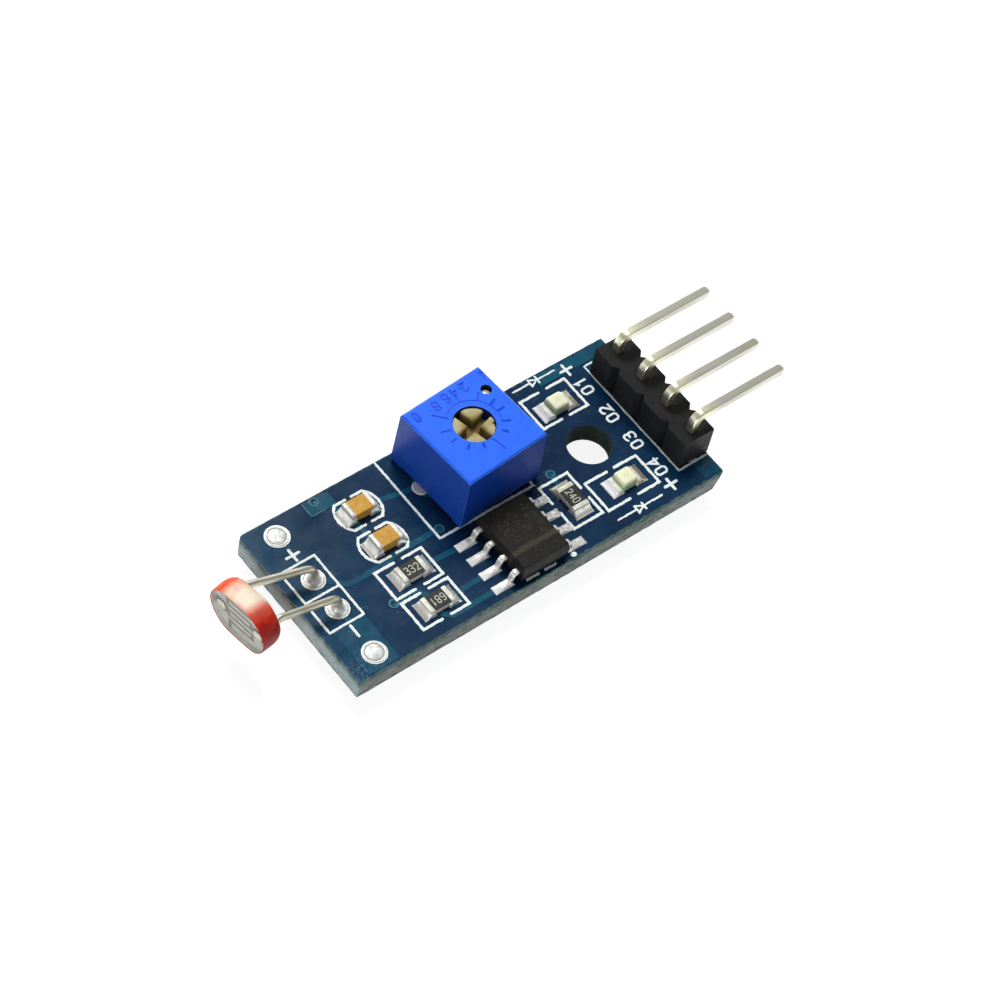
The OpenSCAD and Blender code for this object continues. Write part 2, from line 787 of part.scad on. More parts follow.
// Cup of coloured resin with a rounded back edge
module cell_coat_resin() {
    round_r = 0.35;
    color("#d9481f") at_cell() difference() {
        intersection() {
            rotate_extrude() {
                translate([0, -cell_t / 2]) square([cell_d / 2, cell_t - round_r]);
                translate([0, -cell_t / 2]) square([cell_d / 2 - round_r, cell_t]);
                translate([cell_d / 2 - round_r, cell_t / 2 - round_r]) circle(round_r);
            }
            cube([2 * cell_d, cell_flat, 2 * cell_t], center = true);
        }
        cell_disc(core_d, core_flat, -cell_t, cell_t + back_x);
        lead_holes(lead_d);
    }
}

module lead_foot(i) {
    translate([cell_holes[i].x, cell_holes[i].y, -tail])
        cylinder(d = lead_d, h = tail + seat + cell_fillet + past);
}

module cell_lead(i) {
    color("#a9a792") {
        wire(lead_points(i), lead_d, lead_bend);
        at_cell() translate([lead_sides[i] * cell_lead_gap / 2, 0, face_x - lead_head_t])
            cylinder(d = lead_head_d, h = lead_head_t);
    }
}

// Trim potentiometer

module terminal_shape(i) {
    translate([terminal_holes[i - 1].x, terminal_holes[i - 1].y, -tail])
        cylinder(d = terminal_d, h = tail + board_t + element_z);
}

module terminal_head(i) {
    translate([terminal_holes[i - 1].x, terminal_holes[i - 1].y, board_t + element_z - terminal_head_t])
        cylinder(d = terminal_head_d, h = terminal_head_t);
}

module trimpot_terminal(i) {
    color("#c6c2b4") {
        terminal_shape(i);
        terminal_head(i);
    }
}

module trimpot_housing() {
    half = pot_w / 2;
    profile = [
        [half + pot_draft, pot_feet],
        [half, pot_h - pot_bevel],
        [half - pot_bevel, pot_h]
    ];
    color("#2f62e8") at_pot() {
        difference() {
            leaning_block(profile, profile, pot_w, pot_w);
            translate([-cavity_w / 2, -cavity_w / 2, 0]) cube([cavity_w, cavity_w, film_z]);
            cylinder(r = well_r, h = plate_z);
            cylinder(d = neck_hole_d, h = pot_h + past);
            translate([peep_at.x, peep_at.y, film_z - past]) cylinder(d = peep_d, h = pot_h);
        }
        foot = 0.8;
        for (x = [-1, 1], y = [-1, 1]) {
            translate([x * (half - foot / 2) - foot / 2, y * (half - foot / 2) - foot / 2, foil])
                cube([foot, foot, pot_feet - foil]);
        }
    }
}

module trimpot_rotor() {
    slot_long = neck_d + 2 * past;
    top = pot_h - neck_recess;
    color("#aea362") at_pot() difference() {
        rotate_extrude() polygon([
            [0, rotor_z],
            [rotor_d / 2, rotor_z],
            [rotor_d / 2, rotor_top],
            [neck_d / 2, rotor_top],
            [neck_d / 2, top],
            [0, top]
        ]);
        rotate(slot_angle + pointer_angle)
            translate([neck_d / 2 - pointer_h, -pointer_w / 2, top - pointer_h])
            cube([pointer_h + past, pointer_w, pointer_h + past]);
        for (turn = [0, 90]) {
            rotate(slot_angle + turn) {
                translate([-slot_long / 2, -slot_w / 2, top - slot_h])
                    cube([slot_long, slot_w, slot_h + past]);
                translate([-slot_long / 2, 0, top]) rotate([90, 0, 90])
                    linear_extrude(slot_long) polygon([
                    [-slot_w / 2 - slot_bevel, 0],
                    [0, -slot_w / 2 - slot_bevel],
                    [slot_w / 2 + slot_bevel, 0]
                ]);
            }
        }
    }
}

// Contact spring under the rotor: a collector ring, an arm and two rounded contacts
module trimpot_wiper() {
    reach = (film_in + film_out) / 2;
    tip_z = film_z + film_t + rotor_fit;
    color("#c9a24a") at_pot() rotate(slot_angle) {
        translate([0, 0, rotor_z - spring_t]) linear_extrude(spring_t) {
            circle(spring_r);
            translate([0, -arm_w / 2]) square([reach, arm_w]);
            translate([reach, 0]) circle(d = arm_w);
        }
        for (x = [0, reach]) {
            translate([x, 0, tip_z]) cylinder(d = contact_d, h = rotor_z - spring_t - tip_z);
        }
    }
}

module trimpot_element() {
    color("#e4dcc4") at_pot() translate([-element_w / 2, -element_w / 2, element_z])
        cube([element_w, element_w, element_t]);
}

module trimpot_film() {
    color("#3a3a36") at_pot() translate([0, 0, film_z]) {
        rotate(-90 + (360 - film_sweep) / 2) rotate_extrude(angle = film_sweep)
            translate([film_in, 0]) square([film_out - film_in, film_t]);
        cylinder(r = film_middle, h = film_t);
    }
}

module trimpot_seal() {
    color("#8a2f22") at_pot() translate([0, 0, plate_z - seal_d / 2])
        rotate_extrude() translate([neck_hole_d / 2 + seal_d / 2, 0]) circle(d = seal_d);
}

module trimpot_fill() {
    color("#2c2d2b") difference() {
        at_pot() translate([-cavity_w / 2, -cavity_w / 2, fill_z]) cube([cavity_w, cavity_w, pot_fill]);
        for (i = [1:3]) {
            terminal_shape(i);
            terminal_head(i);
        }
    }
}

// Comparator

// The bent ribbon of one lead, on the +X side, seen along Y
module gull_profile() {
    foot_z = gull_t / 2;
    inner = chip_w / 2 - gull_root;
    shoulder = chip_w / 2 + gull_level;
    heel = shoulder + gull_slope;
    rise = gull_z - foil;
    corners = [[inner, rise, 0], [shoulder, rise, 0], [heel, foot_z, 0], [chip_span / 2, foot_z, 0]];
    strip([for (p = wire_line(corners, gull_bend)) [p[0].x, p[0].y]], gull_t);
}

module gull_leads() {
    for (s = [0, 180], y = chip_rows) {
        rotate(s) translate([0, y + gull_w / 2, 0]) rotate([90, 0, 0])
            linear_extrude(gull_w) gull_profile();
    }
}

module comparator_body() {
    low = chip_lift - foil;
    high = chip_h - foil;
    waist = gull_z - foil;
    profile_x = [[chip_w / 2 - chip_draft, low], [chip_w / 2, waist], [chip_w / 2 - chip_draft, high]];
    profile_y = [[chip_l / 2 - chip_draft, low], [chip_l / 2, waist], [chip_l / 2 - chip_draft, high]];
    color("#262421") at_comparator() difference() {
        leaning_block(profile_x, profile_y, chip_w, chip_l);
        gull_leads();
    }
}

module comparator_leads() {
    color("#d9d9d6") at_comparator() gull_leads();
}

// Small chips

// Both metal ends, wrapped round the two ends of a block
module metal_ends(h, all_sides) {
    side = all_sides ? smd_skin : -past;
    difference() {
        for (s = [0, 180]) {
            rotate(s) translate([smd_l / 2 - smd_end, -smd_w / 2, 0]) cube([smd_end, smd_w, h]);
        }
        translate([-smd_l / 2 + smd_skin, -smd_w / 2 + side, smd_skin])
            cube([smd_l - 2 * smd_skin, smd_w - 2 * side, h - 2 * smd_skin]);
    }
}

module resistor_body(i) {
    color("#e9e6df") at_chip(i + 1) translate([-smd_l / 2 + smd_skin, -smd_w / 2, smd_skin])
        cube([smd_l - 2 * smd_skin, smd_w, resistor_h - 2 * smd_skin]);
}

module resistor_glaze(i) {
    glaze_l = smd_l - 2 * smd_end;
    color("#1c1b19") at_chip(i + 1) translate([-glaze_l / 2, -smd_w / 2, resistor_h - smd_skin])
        cube([glaze_l, smd_w, smd_skin]);
}

module resistor_ends(i) {
    color("#cfcfca") at_chip(i + 1) metal_ends(resistor_h, false);
}

module capacitor_body(i) {
    color("#c9923a") at_chip(i - 1) translate([-smd_l / 2 + smd_skin, -smd_w / 2 + smd_skin, smd_skin])
        cube([smd_l - 2 * smd_skin, smd_w - 2 * smd_skin, capacitor_h - 2 * smd_skin]);
}

module capacitor_ends(i) {
    color("#d8d4c4") at_chip(i - 1) metal_ends(capacitor_h, true);
}

module lamp_base_board(i) {
    color("#dfe6d2") at_chip(i + 4) translate([-smd_l / 2 + smd_skin, -smd_w / 2, smd_skin])
        cube([smd_l - 2 * smd_skin, smd_w, lamp_base - 2 * smd_skin]);
}

module lamp_ends(i) {
    color("#e0ddcf") at_chip(i + 4) metal_ends(lamp_base, false);
}

module lens_block() {
    bottom = lamp_base - smd_skin;
    foot = smd_l / 2 - smd_end;
    lens_step = 0.08;
    translate([0, smd_w / 2, 0]) rotate([90, 0, 0]) linear_extrude(smd_w) mirrored_profile([
        [foot, bottom],
        [foot, bottom + lens_step],
        [lamp_lens_l / 2, lamp_h]
    ]);
}

module die_block() {
    die_h = 0.12;
    translate([-lamp_die / 2, -lamp_die / 2, lamp_base - smd_skin]) cube([lamp_die, lamp_die, die_h]);
}

module lamp_lens(i) {
    color("#e6ecae") at_chip(i + 4) difference() {
        lens_block();
        die_block();
    }
}

module lamp_die_square(i) {
    color("#6f8a3a") at_chip(i + 4) die_block();
}

// Header

// The bent outline of a pin, seen along Y, with its corner at the origin's side of the bend
module pin_outline() {
    level = board_t + pin_height;
    corner = [pin_x + pin_bend, level - pin_bend];
    translate([pin_x - pin_w / 2, -tail]) square([pin_w, tail + corner.y]);
    translate([corner.x, level - pin_w / 2]) square([header_end + pin_out - corner.x, pin_w]);
    intersection() {
        translate([corner.x - pin_bend - pin_w, corner.y]) square(pin_bend + pin_w);
        difference() {
            translate(corner) circle(pin_bend + pin_w / 2);
            translate(corner) circle(pin_bend - pin_w / 2);
        }
    }
}

module pin_shape(i) {
    translate([0, pin_holes[i - 1].y + pin_w / 2, 0]) rotate([90, 0, 0])
        linear_extrude(pin_w) pin_outline();
}

// The four bevels at the end of a bar that points along +X with its tip at the origin
module tip_cuts() {
    half = pin_w / 2;
    for (turn = [0:90:270]) {
        rotate([turn, 0, 0]) translate([0, pin_w, 0]) rotate([90, 0, 0]) linear_extrude(2 * pin_w) polygon([
            [-2 * tip_bevel, half],
            [past, half - tip_bevel - past / 2],
            [past, half + past],
            [-2 * tip_bevel, half + past]
        ]);
    }
}

module header_pin(i) {
    color("#c2c0b2") difference() {
        pin_shape(i);
        translate([header_end + pin_out, pin_holes[i - 1].y, board_t + pin_height]) tip_cuts();
        translate([pin_x, pin_holes[i - 1].y, -tail]) rotate([0, 90, 0]) tip_cuts();
    }
}

// Row of cells with a V notch on both sides between neighbours
module header_body() {
    half = (pins - 1) * pitch / 2 + header_end_w;
    color("#1f1f20") difference() {
        translate([header_end - pitch, -half, seat]) cube([pitch, 2 * half, header_h]);
        for (i = [0:pins - 2], side = [0, 1]) {
            translate([header_end - side * pitch, (pin_holes[i].y + pin_holes[i + 1].y) / 2, 0])
                rotate(side * 180) linear_extrude(seat + header_h + past) polygon([
                    [past, -notch - past],
                    [-notch, 0],
                    [past, notch + past]
                ]);
        }
        for (i = [1:pins]) {
            translate([pin_holes[i - 1].x, pin_holes[i - 1].y, seat + header_h - well_h])
                cylinder(d = well_d, h = well_h + past);
            pin_shape(i);
        }
    }
}

board();
copper_top();
copper_bottom();
plated_holes();
solder_pads();
solder_chips();
solder_comparator();
solder_header();
solder_trimpot();
solder_cell();
solder_test_holes();
header_body();
comparator_body();
comparator_leads();
trimpot_housing();
trimpot_rotor();
trimpot_wiper();
trimpot_element();
trimpot_film();
trimpot_seal();
trimpot_fill();
cell_ceramic();
cell_electrodes();
cell_line();
cell_window();
cell_coat_resin();
for (i = [1:pins]) {
    header_pin(i);
}
for (i = [1:3]) {
    trimpot_terminal(i);
    resistor_body(i);
    resistor_glaze(i);
    resistor_ends(i);
}
for (i = [1:2]) {
    cell_lead(i - 1);
    capacitor_body(i);
    capacitor_ends(i);
    lamp_base_board(i);
    lamp_lens(i);
    lamp_die_square(i);
    lamp_ends(i);
}
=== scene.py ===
import math
import bmesh
import bpy
from mathutils import Matrix, Vector, noise


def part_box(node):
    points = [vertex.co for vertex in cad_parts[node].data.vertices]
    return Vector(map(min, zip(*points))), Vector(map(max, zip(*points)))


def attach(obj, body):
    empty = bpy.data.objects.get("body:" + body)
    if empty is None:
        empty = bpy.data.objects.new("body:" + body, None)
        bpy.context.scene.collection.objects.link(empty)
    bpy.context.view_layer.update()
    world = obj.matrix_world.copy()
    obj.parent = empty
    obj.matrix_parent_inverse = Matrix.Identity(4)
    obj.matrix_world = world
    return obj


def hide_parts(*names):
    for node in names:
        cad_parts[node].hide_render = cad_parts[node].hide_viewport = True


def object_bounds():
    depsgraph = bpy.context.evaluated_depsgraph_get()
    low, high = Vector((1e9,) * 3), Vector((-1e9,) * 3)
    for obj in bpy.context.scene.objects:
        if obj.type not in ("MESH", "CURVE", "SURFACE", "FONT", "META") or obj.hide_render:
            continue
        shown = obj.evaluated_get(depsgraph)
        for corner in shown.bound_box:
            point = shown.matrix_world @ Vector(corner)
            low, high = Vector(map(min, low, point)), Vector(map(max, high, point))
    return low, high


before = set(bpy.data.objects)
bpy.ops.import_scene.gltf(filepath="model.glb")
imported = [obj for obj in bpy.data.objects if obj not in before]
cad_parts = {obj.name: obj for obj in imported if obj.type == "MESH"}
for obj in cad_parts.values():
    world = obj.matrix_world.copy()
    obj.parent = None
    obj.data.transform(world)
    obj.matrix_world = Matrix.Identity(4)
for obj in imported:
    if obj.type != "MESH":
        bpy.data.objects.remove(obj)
cad_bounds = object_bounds()

# The scene is worked out in millimetres and written in metres.
MM = 0.001


def box_mm(node):
    """The lowest and highest corner of a CAD node, in millimetres."""
    low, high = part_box(node)
    return low / MM, high / MM


# Sizes that the frame gives
BOARD_LOW, BOARD_HIGH = box_mm("board")
SENSOR_END, HEADER_END = BOARD_LOW.x, BOARD_HIGH.x
CENTRE_X = (SENSOR_END + HEADER_END) / 2
HALF_WIDTH = BOARD_HIGH.y
TOP = BOARD_HIGH.z
SEAT = box_mm("copper_top")[1].z
FOIL = SEAT - TOP
POT_TOP_Z = box_mm("trimpot_housing")[1].z

# Sizes repeated from the part's source
CORNER_R = 0.5
HOLE_D = 3.1
RING = 0.4
BARE_RIM = 0.06
VIA_RIM = 0.34
PLATE = 0.03
LEAD_D = 0.5
CELL_DRILL = 0.8
TERMINAL_DRILL = 0.8
PIN_DRILL = 0.6 * math.sqrt(2) + 0.15
TEST_DRILL = 0.9
VIA_DRILL = 0.35
CONE_H = 0.75
POT_AT = Vector((-8.19, 2.91, 0))
POT_TURN = math.radians(4)
PIN_REACH = 2.54
PIN_SHIFT = 0.5
PIN_DEPTH = 2.54
POT_RING = 0.8
PEEP_AT = (2.46, 1.6)
PEEP_D = 0.75
NECK_WALL = 1.7
CHIP_AT = Vector((-8.76, -3.725, 0))
CHIP_PITCH = 1.27
CHIP_SPAN = 6
CHIP_PAD_SPAN = 7.43
CHIP_PAD_L = 1.5
CHIP_PAD_W = 0.64
SMD_L = 2
SMD_W = 1.25
SMD_END = 0.36
PAD_SPAN = 2.9
PAD_W = 1.46
PAD_GAP = 1
PITCH = 2.54
CELL_D = 5
CELL_FLAT = 4.4
CELL_T = 1.7
CELL_GLASS = 0.3
CELL_HOLE_GAP = 2.54
CELL_INSET = 2.2
CELL_LEAD_GAP = 3.3
CELL_REACH = 3.56
CELL_SHIFT = 0.63
CELL_HEIGHT = 1.73
CELL_TURN = (-5.6, -5.7, 6.8)
CELL_FILLET = 0.35
LEAD_BEND = 0.8
LEAD_RISES = (1.4, 1.3)
LEAD_STRAIGHT = 0.4
TAIL = 1.2
HEAD_D = 0.8
HEAD_T = 0.1


def pot_point(x, y):
    """A place on the potentiometer, from its rotor, as a place on the board."""
    return POT_AT + Matrix.Rotation(POT_TURN, 3, "Z") @ Vector((x, y, 0))


def turned(degrees, axis="Z"):
    return Matrix.Rotation(math.radians(degrees), 4, axis)


CELL_HOLES = [Vector((SENSOR_END + CELL_INSET, s * CELL_HOLE_GAP / 2, 0)) for s in (1, -1)]
TEST_HOLES = [Vector((SENSOR_END + 2.2, s * (HALF_WIDTH - 1.38), 0)) for s in (1, -1)]
PIN_HOLES = [Vector((HEADER_END - PITCH / 2, (i - 1.5) * PITCH, 0)) for i in range(4)]
TERMINAL_HOLES = [
    pot_point(PIN_REACH, PIN_SHIFT), pot_point(0, PIN_SHIFT - PIN_DEPTH), pot_point(-PIN_REACH, PIN_SHIFT)
]
VIA_HOLES = [
    Vector((SENSOR_END + 5.72, HALF_WIDTH - 0.48, 0)),
    Vector((SENSOR_END + 5.39, -2.92, 0)),
    Vector((POT_AT.x - 4.24, 0.04, 0)),
    Vector((-3.7, -0.5, 0)),
]
DRILLS = [
    (hole, drill)
    for holes, drill in (
        (CELL_HOLES, CELL_DRILL), (TERMINAL_HOLES, TERMINAL_DRILL), (PIN_HOLES, PIN_DRILL),
        (TEST_HOLES, TEST_DRILL), (VIA_HOLES, VIA_DRILL),
    )
    for hole in holes
]
CELL_MATRIX = (
    Matrix.Translation((SENSOR_END - CELL_REACH, CELL_SHIFT, TOP + CELL_HEIGHT))
    @ turned(CELL_TURN[2]) @ turned(CELL_TURN[1], "Y") @ turned(CELL_TURN[0], "X")
)


# Materials


def linear(colour):
    """Three values from 0 to 255, as a picture writes them, in Blender's terms. Four are so already."""
    if len(colour) == 4:
        return colour
    parts = [value / 255 for value in colour]
    return (*[part / 12.92 if part <= 0.04045 else ((part + 0.055) / 1.055) ** 2.4 for part in parts], 1)


class Nodes:
    """Short ways to fill a node tree."""

    def __init__(self, tree):
        self.tree = tree

    def feed(self, socket, value):
        if isinstance(value, bpy.types.NodeSocket):
            self.tree.links.new(value, socket)
        else:
            socket.default_value = value

    def node(self, kind, *values, **settings):
        """A new node with its settings and its first inputs."""
        node = self.tree.nodes.new(kind)
        for name, value in settings.items():
            setattr(node, name, value)
        for socket, value in zip(node.inputs, values):
            self.feed(socket, value)
        return node

    def math(self, operation, *values, **settings):
        return self.node("ShaderNodeMath", *values, operation=operation, **settings).outputs[0]

    def add(self, a, b):
        return self.math("ADD", a, b)

    def minus(self, a, b):
        return self.math("SUBTRACT", a, b)

    def multiply(self, a, b):
        return self.math("MULTIPLY", a, b)

    def times(self, vector, factors):
        return self.node("ShaderNodeVectorMath", vector, factors, operation="MULTIPLY").outputs[0]

    def span(self, value, low, high, to_low=0.0, to_high=1.0):
        """A value brought from one range to another, and held there."""
        return self.node("ShaderNodeMapRange", value, low, high, to_low, to_high).outputs[0]

    def ramp(self, factor, *stops):
        node = self.node("ShaderNodeValToRGB", factor)
        elements = node.color_ramp.elements
        while len(elements) < len(stops):
            elements.new(0.5)
        for element, (position, colour) in zip(elements, stops):
            element.position = position
            element.color = linear(colour)
        return node.outputs[0]

    def seen(self):
        """1 for the camera's rays, reflections and what shows through, 0 for light on matt surfaces."""
        path = self.node("ShaderNodeLightPath").outputs
        outright = self.add(path["Is Camera Ray"], path["Is Glossy Ray"])
        return self.math("ADD", outright, path["Is Transmission Ray"], use_clamp=True)


class Surface(Nodes):
    """A procedural material. Its coordinates are millimetres in the row frame."""

    def __init__(self, name, **constants):
        self.material = bpy.data.materials.new(name)
        self.material.use_nodes = True
        super().__init__(self.material.node_tree)
        self.shader = self.tree.nodes["Principled BSDF"]
        for socket, value in constants.items():
            self.shader.inputs[socket.replace("_", " ")].default_value = value
        self.coordinates = self.node("ShaderNodeTexCoord").outputs
        self.place = self.times(self.coordinates["Object"], (1 / MM,) * 3)
        self.x, self.y, self.z = self.node("ShaderNodeSeparateXYZ", self.place).outputs
        self.colour = None

    def noise(self, scale, detail=3.0, roughness=0.55, stretch=(1, 1, 1), distortion=0.0):
        """A cloudy pattern, with scale in cells per millimetre."""
        node = self.node("ShaderNodeTexNoise", self.times(self.place, stretch))
        node.inputs["Scale"].default_value = scale
        node.inputs["Detail"].default_value = detail
        node.inputs["Roughness"].default_value = roughness
        node.inputs["Distortion"].default_value = distortion
        return node.outputs["Fac"]

    def clouds(self, low, high, most, *pattern):
        """0 where the noise is below low, most where it is above high."""
        return self.span(self.noise(*pattern), low, high, 0, most)

    def drift(self, low, high, *pattern):
        """A value that wanders between two limits."""
        return self.span(self.noise(*pattern), 0.3, 0.7, low, high)

    def radius(self, centre):
        """How far a place is from an upright line."""
        x = self.minus(self.x, centre.x)
        y = self.minus(self.y, centre.y)
        return self.math("SQRT", self.add(self.multiply(x, x), self.multiply(y, y)))

    def sides(self, low, high, most):
        """Most on faces that look sideways or down, 0 on those that look up: a mask for painted shade."""
        height = self.node("ShaderNodeSeparateXYZ", self.coordinates["Normal"]).outputs["Z"]
        return self.span(height, low, high, most, 0)

    def mix(self, factor, a, b):
        node = self.node("ShaderNodeMix", factor, data_type="RGBA")
        for socket, colour in zip((node.inputs[6], node.inputs[7]), (a, b)):
            self.feed(socket, linear(colour) if isinstance(colour, tuple) else colour)
        return node.outputs[2]

    def lay(self, factor, colour):
        """Another colour over what is there, as far as the factor says."""
        self.colour = self.mix(factor, self.colour, colour)

    def finish(self, roughness, *relief):
        """Colour, roughness, and relief from pairs of a depth in millimetres and a height or noise."""
        self.feed(self.shader.inputs["Base Color"], self.colour)
        self.feed(self.shader.inputs["Roughness"], roughness)
        last = None
        for depth, height in relief:
            node = self.node("ShaderNodeBump")
            node.inputs["Distance"].default_value = depth * MM
            self.feed(node.inputs["Height"], self.noise(*height) if isinstance(height, tuple) else height)
            if last:
                self.feed(node.inputs["Normal"], last)
            last = node.outputs[0]
        self.feed(self.shader.inputs["Normal"], last)
        return self.material


def masked(name, dark, light):
    """Solder mask: glossy, faintly clouded, greener at the ends as a painted reflection, with dust, scratches
    and bare rims.
    """
    skin = Surface(name, Specular_IOR_Level=0.22)
    skin.colour = skin.mix(skin.clouds(0.34, 0.66, 1, 0.14, 4, 0.6), dark, light)
    skin.lay(skin.clouds(0.5, 0.7, 0.4, 0.45, 5, 0.7), (26, 40, 82))
    # Painted reflection: a paler teal towards the sensor end and the header end.
    sensor_end_painted_light = skin.span(skin.x, SENSOR_END, SENSOR_END + 6, 0.75, 0)
    header_end_painted_light = skin.span(skin.x, HEADER_END - 3, HEADER_END, 0, 0.5)
    skin.lay(skin.math("MAXIMUM", sensor_end_painted_light, header_end_painted_light), (16, 70, 98))
    skin.lay(skin.clouds(0.4, 0.72, 0.35, 2.6, 4, 0.65), (8, 30, 58))
    dust = skin.clouds(0.735, 0.78, 0.4, 5.5, 2, 0.4)
    skin.lay(dust, (120, 150, 158))
    scratch = skin.clouds(0.75, 0.77, 0.25, 1.4, 1, 0.3, (0.35, 5.5, 1), 0.8)
    skin.lay(scratch, (96, 130, 150))
    near_end = skin.span(skin.x, SENSOR_END + 0.8, SENSOR_END + 3.4, 1, 0)
    near_side = skin.span(skin.y, -HALF_WIDTH + 0.7, -HALF_WIDTH + 2.4, 1, 0)
    residue = skin.multiply(skin.multiply(near_end, near_side), skin.clouds(0.5, 0.72, 0.8, 5.0, 6, 0.8))
    skin.lay(residue, (132, 164, 196))
    from_end = skin.math("MINIMUM", skin.minus(skin.x, SENSOR_END), skin.minus(HEADER_END, skin.x))
    from_side = skin.minus(HALF_WIDTH, skin.math("ABSOLUTE", skin.y))
    inside = skin.add(skin.math("MINIMUM", from_end, from_side), skin.drift(-0.06, 0.06, 2.5, 4))
    skin.lay(skin.span(inside, 0.06, 0.15, 1, 0), (92, 120, 116))
    return skin.finish(skin.drift(0.13, 0.26, 1.1, 5), (0.012, (0.5, 2)), (0.0015, (7, 3)))


def cut_laminate():
    """The sawn edge: glass bundles in resin, green under the mask, paler at the sensor end and towards the
    header end as painted light, dark flecks and a darker foot.
    """
    skin = Surface("cut_laminate", Specular_IOR_Level=0.2)
    fibre = skin.noise(1.0, 5, 0.72, (1.2, 1.2, 7.0), 0.4)
    fine = skin.noise(9, 4, 0.7)
    skin.colour = skin.ramp(
        fibre, (0.34, (58, 78, 80)), (0.44, (128, 146, 146)), (0.55, (206, 214, 206)), (0.68, (104, 122, 122))
    )
    skin.lay(skin.span(fine, 0.42, 0.7, 0, 0.55), (214, 220, 208))
    # Painted light: the sensor end's face and the edge near the header end are paler.
    sensor_face_painted_light = skin.span(skin.x, SENSOR_END + 0.1, SENSOR_END + 0.5, 0.55, 0)
    header_end_painted_light = skin.span(skin.x, HEADER_END - 6, HEADER_END, 0, 0.4)
    skin.lay(skin.math("MAXIMUM", sensor_face_painted_light, header_end_painted_light), (212, 236, 240))
    fleck = skin.clouds(0.6, 0.68, 0.85, 4.2, 3, 0.6, (1, 1, 2.2))
    skin.lay(fleck, (52, 72, 72))
    level = skin.add(skin.z, skin.drift(-0.16, 0.16, 1.6, 4, 0.6, (1, 1, 0.2)))
    skin.lay(skin.span(level, TOP - 0.55, TOP - 0.15, 0, 0.55), (96, 124, 120))
    skin.lay(skin.span(level, TOP - 0.1, TOP - 0.02, 0, 0.8), (36, 86, 98))
    skin.lay(skin.span(level, -0.05, 0.28, 0.85, 0), (60, 78, 74))
    return skin.finish(skin.span(fine, 0.3, 0.7, 0.75, 0.95), (0.07, fibre), (0.03, fine))


def print_white():
    skin = Surface("print_white", Specular_IOR_Level=0.3)
    skin.colour = skin.mix(skin.clouds(0.58, 0.78, 0.45, 2.2, 5, 0.7), (240, 247, 245), (186, 206, 210))
    return skin.finish(skin.drift(0.45, 0.7, 6, 3), (0.004, (9, 3)))


def metal(
    name, bright, dull, rough, grain=3.0, stretch=(1, 1, 1), relief=0.004, spots=None, metallic=0.6,
    bend_highlight=False,
):
    """Plated or soldered metal with dull clouds and fine relief, with a painted pale yellow highlight near
    the pins' bends if asked for.
    """
    skin = Surface(name, Metallic=metallic, Specular_IOR_Level=0.6)
    cloud = skin.clouds(0.38, 0.68, 1, grain, 4, 0.6, stretch)
    skin.colour = skin.mix(cloud, bright, dull)
    # The darker spots are partly dull patches and partly painted dark reflections.
    if spots:
        skin.lay(skin.clouds(0.6, 0.7, 0.7, grain * 1.3, 3, 0.6), spots)
    # Painted highlight: pale yellow near the pins' bends.
    if bend_highlight:
        skin.lay(skin.span(skin.x, HEADER_END - 0.6, HEADER_END + 0.9, 0.8, 0), (246, 242, 208))
    return skin.finish(skin.span(cloud, 0, 1, *rough), (relief, (grain * 1.6, 3, 0.6, stretch)))


def plastic(name, base, other, rough, grain=2.0, relief=0.004, specular=0.5):
    """Moulded plastic or resin with faint clouds and a fine skin."""
    skin = Surface(name, Specular_IOR_Level=specular)
    skin.colour = skin.mix(skin.clouds(0.35, 0.68, 1, grain, 4, 0.6), base, other)
    return skin.finish(skin.drift(*rough, grain * 2, 3), (relief, (grain * 7, 3)))


def housing_blue(name, base, deep, scuff, scuff_low, side_shade=0.0):
    """Blue moulded plastic. More of the scuff colour shows as scuff_low falls. Sides can take painted shade.
    """
    skin = Surface(name, Specular_IOR_Level=0.3)
    skin.colour = skin.mix(skin.clouds(0.35, 0.68, 1, 0.8, 4, 0.6), base, deep)
    skin.lay(skin.clouds(scuff_low, scuff_low + 0.08, 0.85, 2.6, 5, 0.75, (1, 1, 0.6), 0.5), scuff)
    # Painted shade: darker on faces that look sideways or down.
    skin.lay(skin.sides(0.25, 0.75, side_shade), (12, 34, 100))
    return skin.finish(skin.drift(0.3, 0.44, 3, 4), (0.002, (10, 3)), (0.006, (1.2, 2)))


def chip_resin():
    """Moulded epoxy, mottled, with a paler worn band across it near the first lead, and painted shade on the
    sides.
    """
    skin = Surface("chip_resin", Specular_IOR_Level=0.2)
    cloud = skin.clouds(0.38, 0.72, 1, 2.4, 5, 0.72)
    skin.colour = skin.mix(cloud, (16, 15, 13), (33, 32, 26))
    skin.lay(skin.clouds(0.57, 0.68, 0.55, 8, 4, 0.7), (82, 80, 66))
    band_middle = CHIP_AT.y - 1.07
    band_half = 0.24
    off = skin.math("ABSOLUTE", skin.minus(skin.y, band_middle))
    ragged = skin.add(off, skin.drift(-0.06, 0.06, 3, 3))
    skin.lay(skin.span(ragged, band_half * 0.5, band_half, 0.6, 0), (72, 68, 52))
    # Painted shade: near black on faces that look sideways.
    skin.lay(skin.sides(0.4, 0.85, 0.6), (7, 7, 7))
    return skin.finish(skin.span(cloud, 0, 1, 0.5, 0.7), (0.008, (9, 4, 0.7)))


def rotor_plastic():
    """Glass-filled plastic, pale at the rim, browner towards the middle, with painted shade down in the
    slots.
    """
    skin = Surface("rotor_plastic", Specular_IOR_Level=0.3)
    patch = skin.drift(-0.25, 0.25, 2.2, 4, 0.65)
    outward = skin.span(skin.add(skin.radius(POT_AT), patch), 0.45, 1.3)
    skin.colour = skin.ramp(outward, (0.0, (140, 120, 68)), (0.45, (170, 156, 102)), (1.0, (190, 182, 142)))
    # Painted shade: browner the deeper a face lies below the neck's face.
    neck_face = POT_TOP_Z - 0.15
    skin.lay(skin.span(skin.z, neck_face - 0.75, neck_face - 0.15, 0.6, 0), (72, 56, 28))
    return skin.finish(skin.span(patch, -0.2, 0.2, 0.4, 0.6), (0.01, (6, 4)))


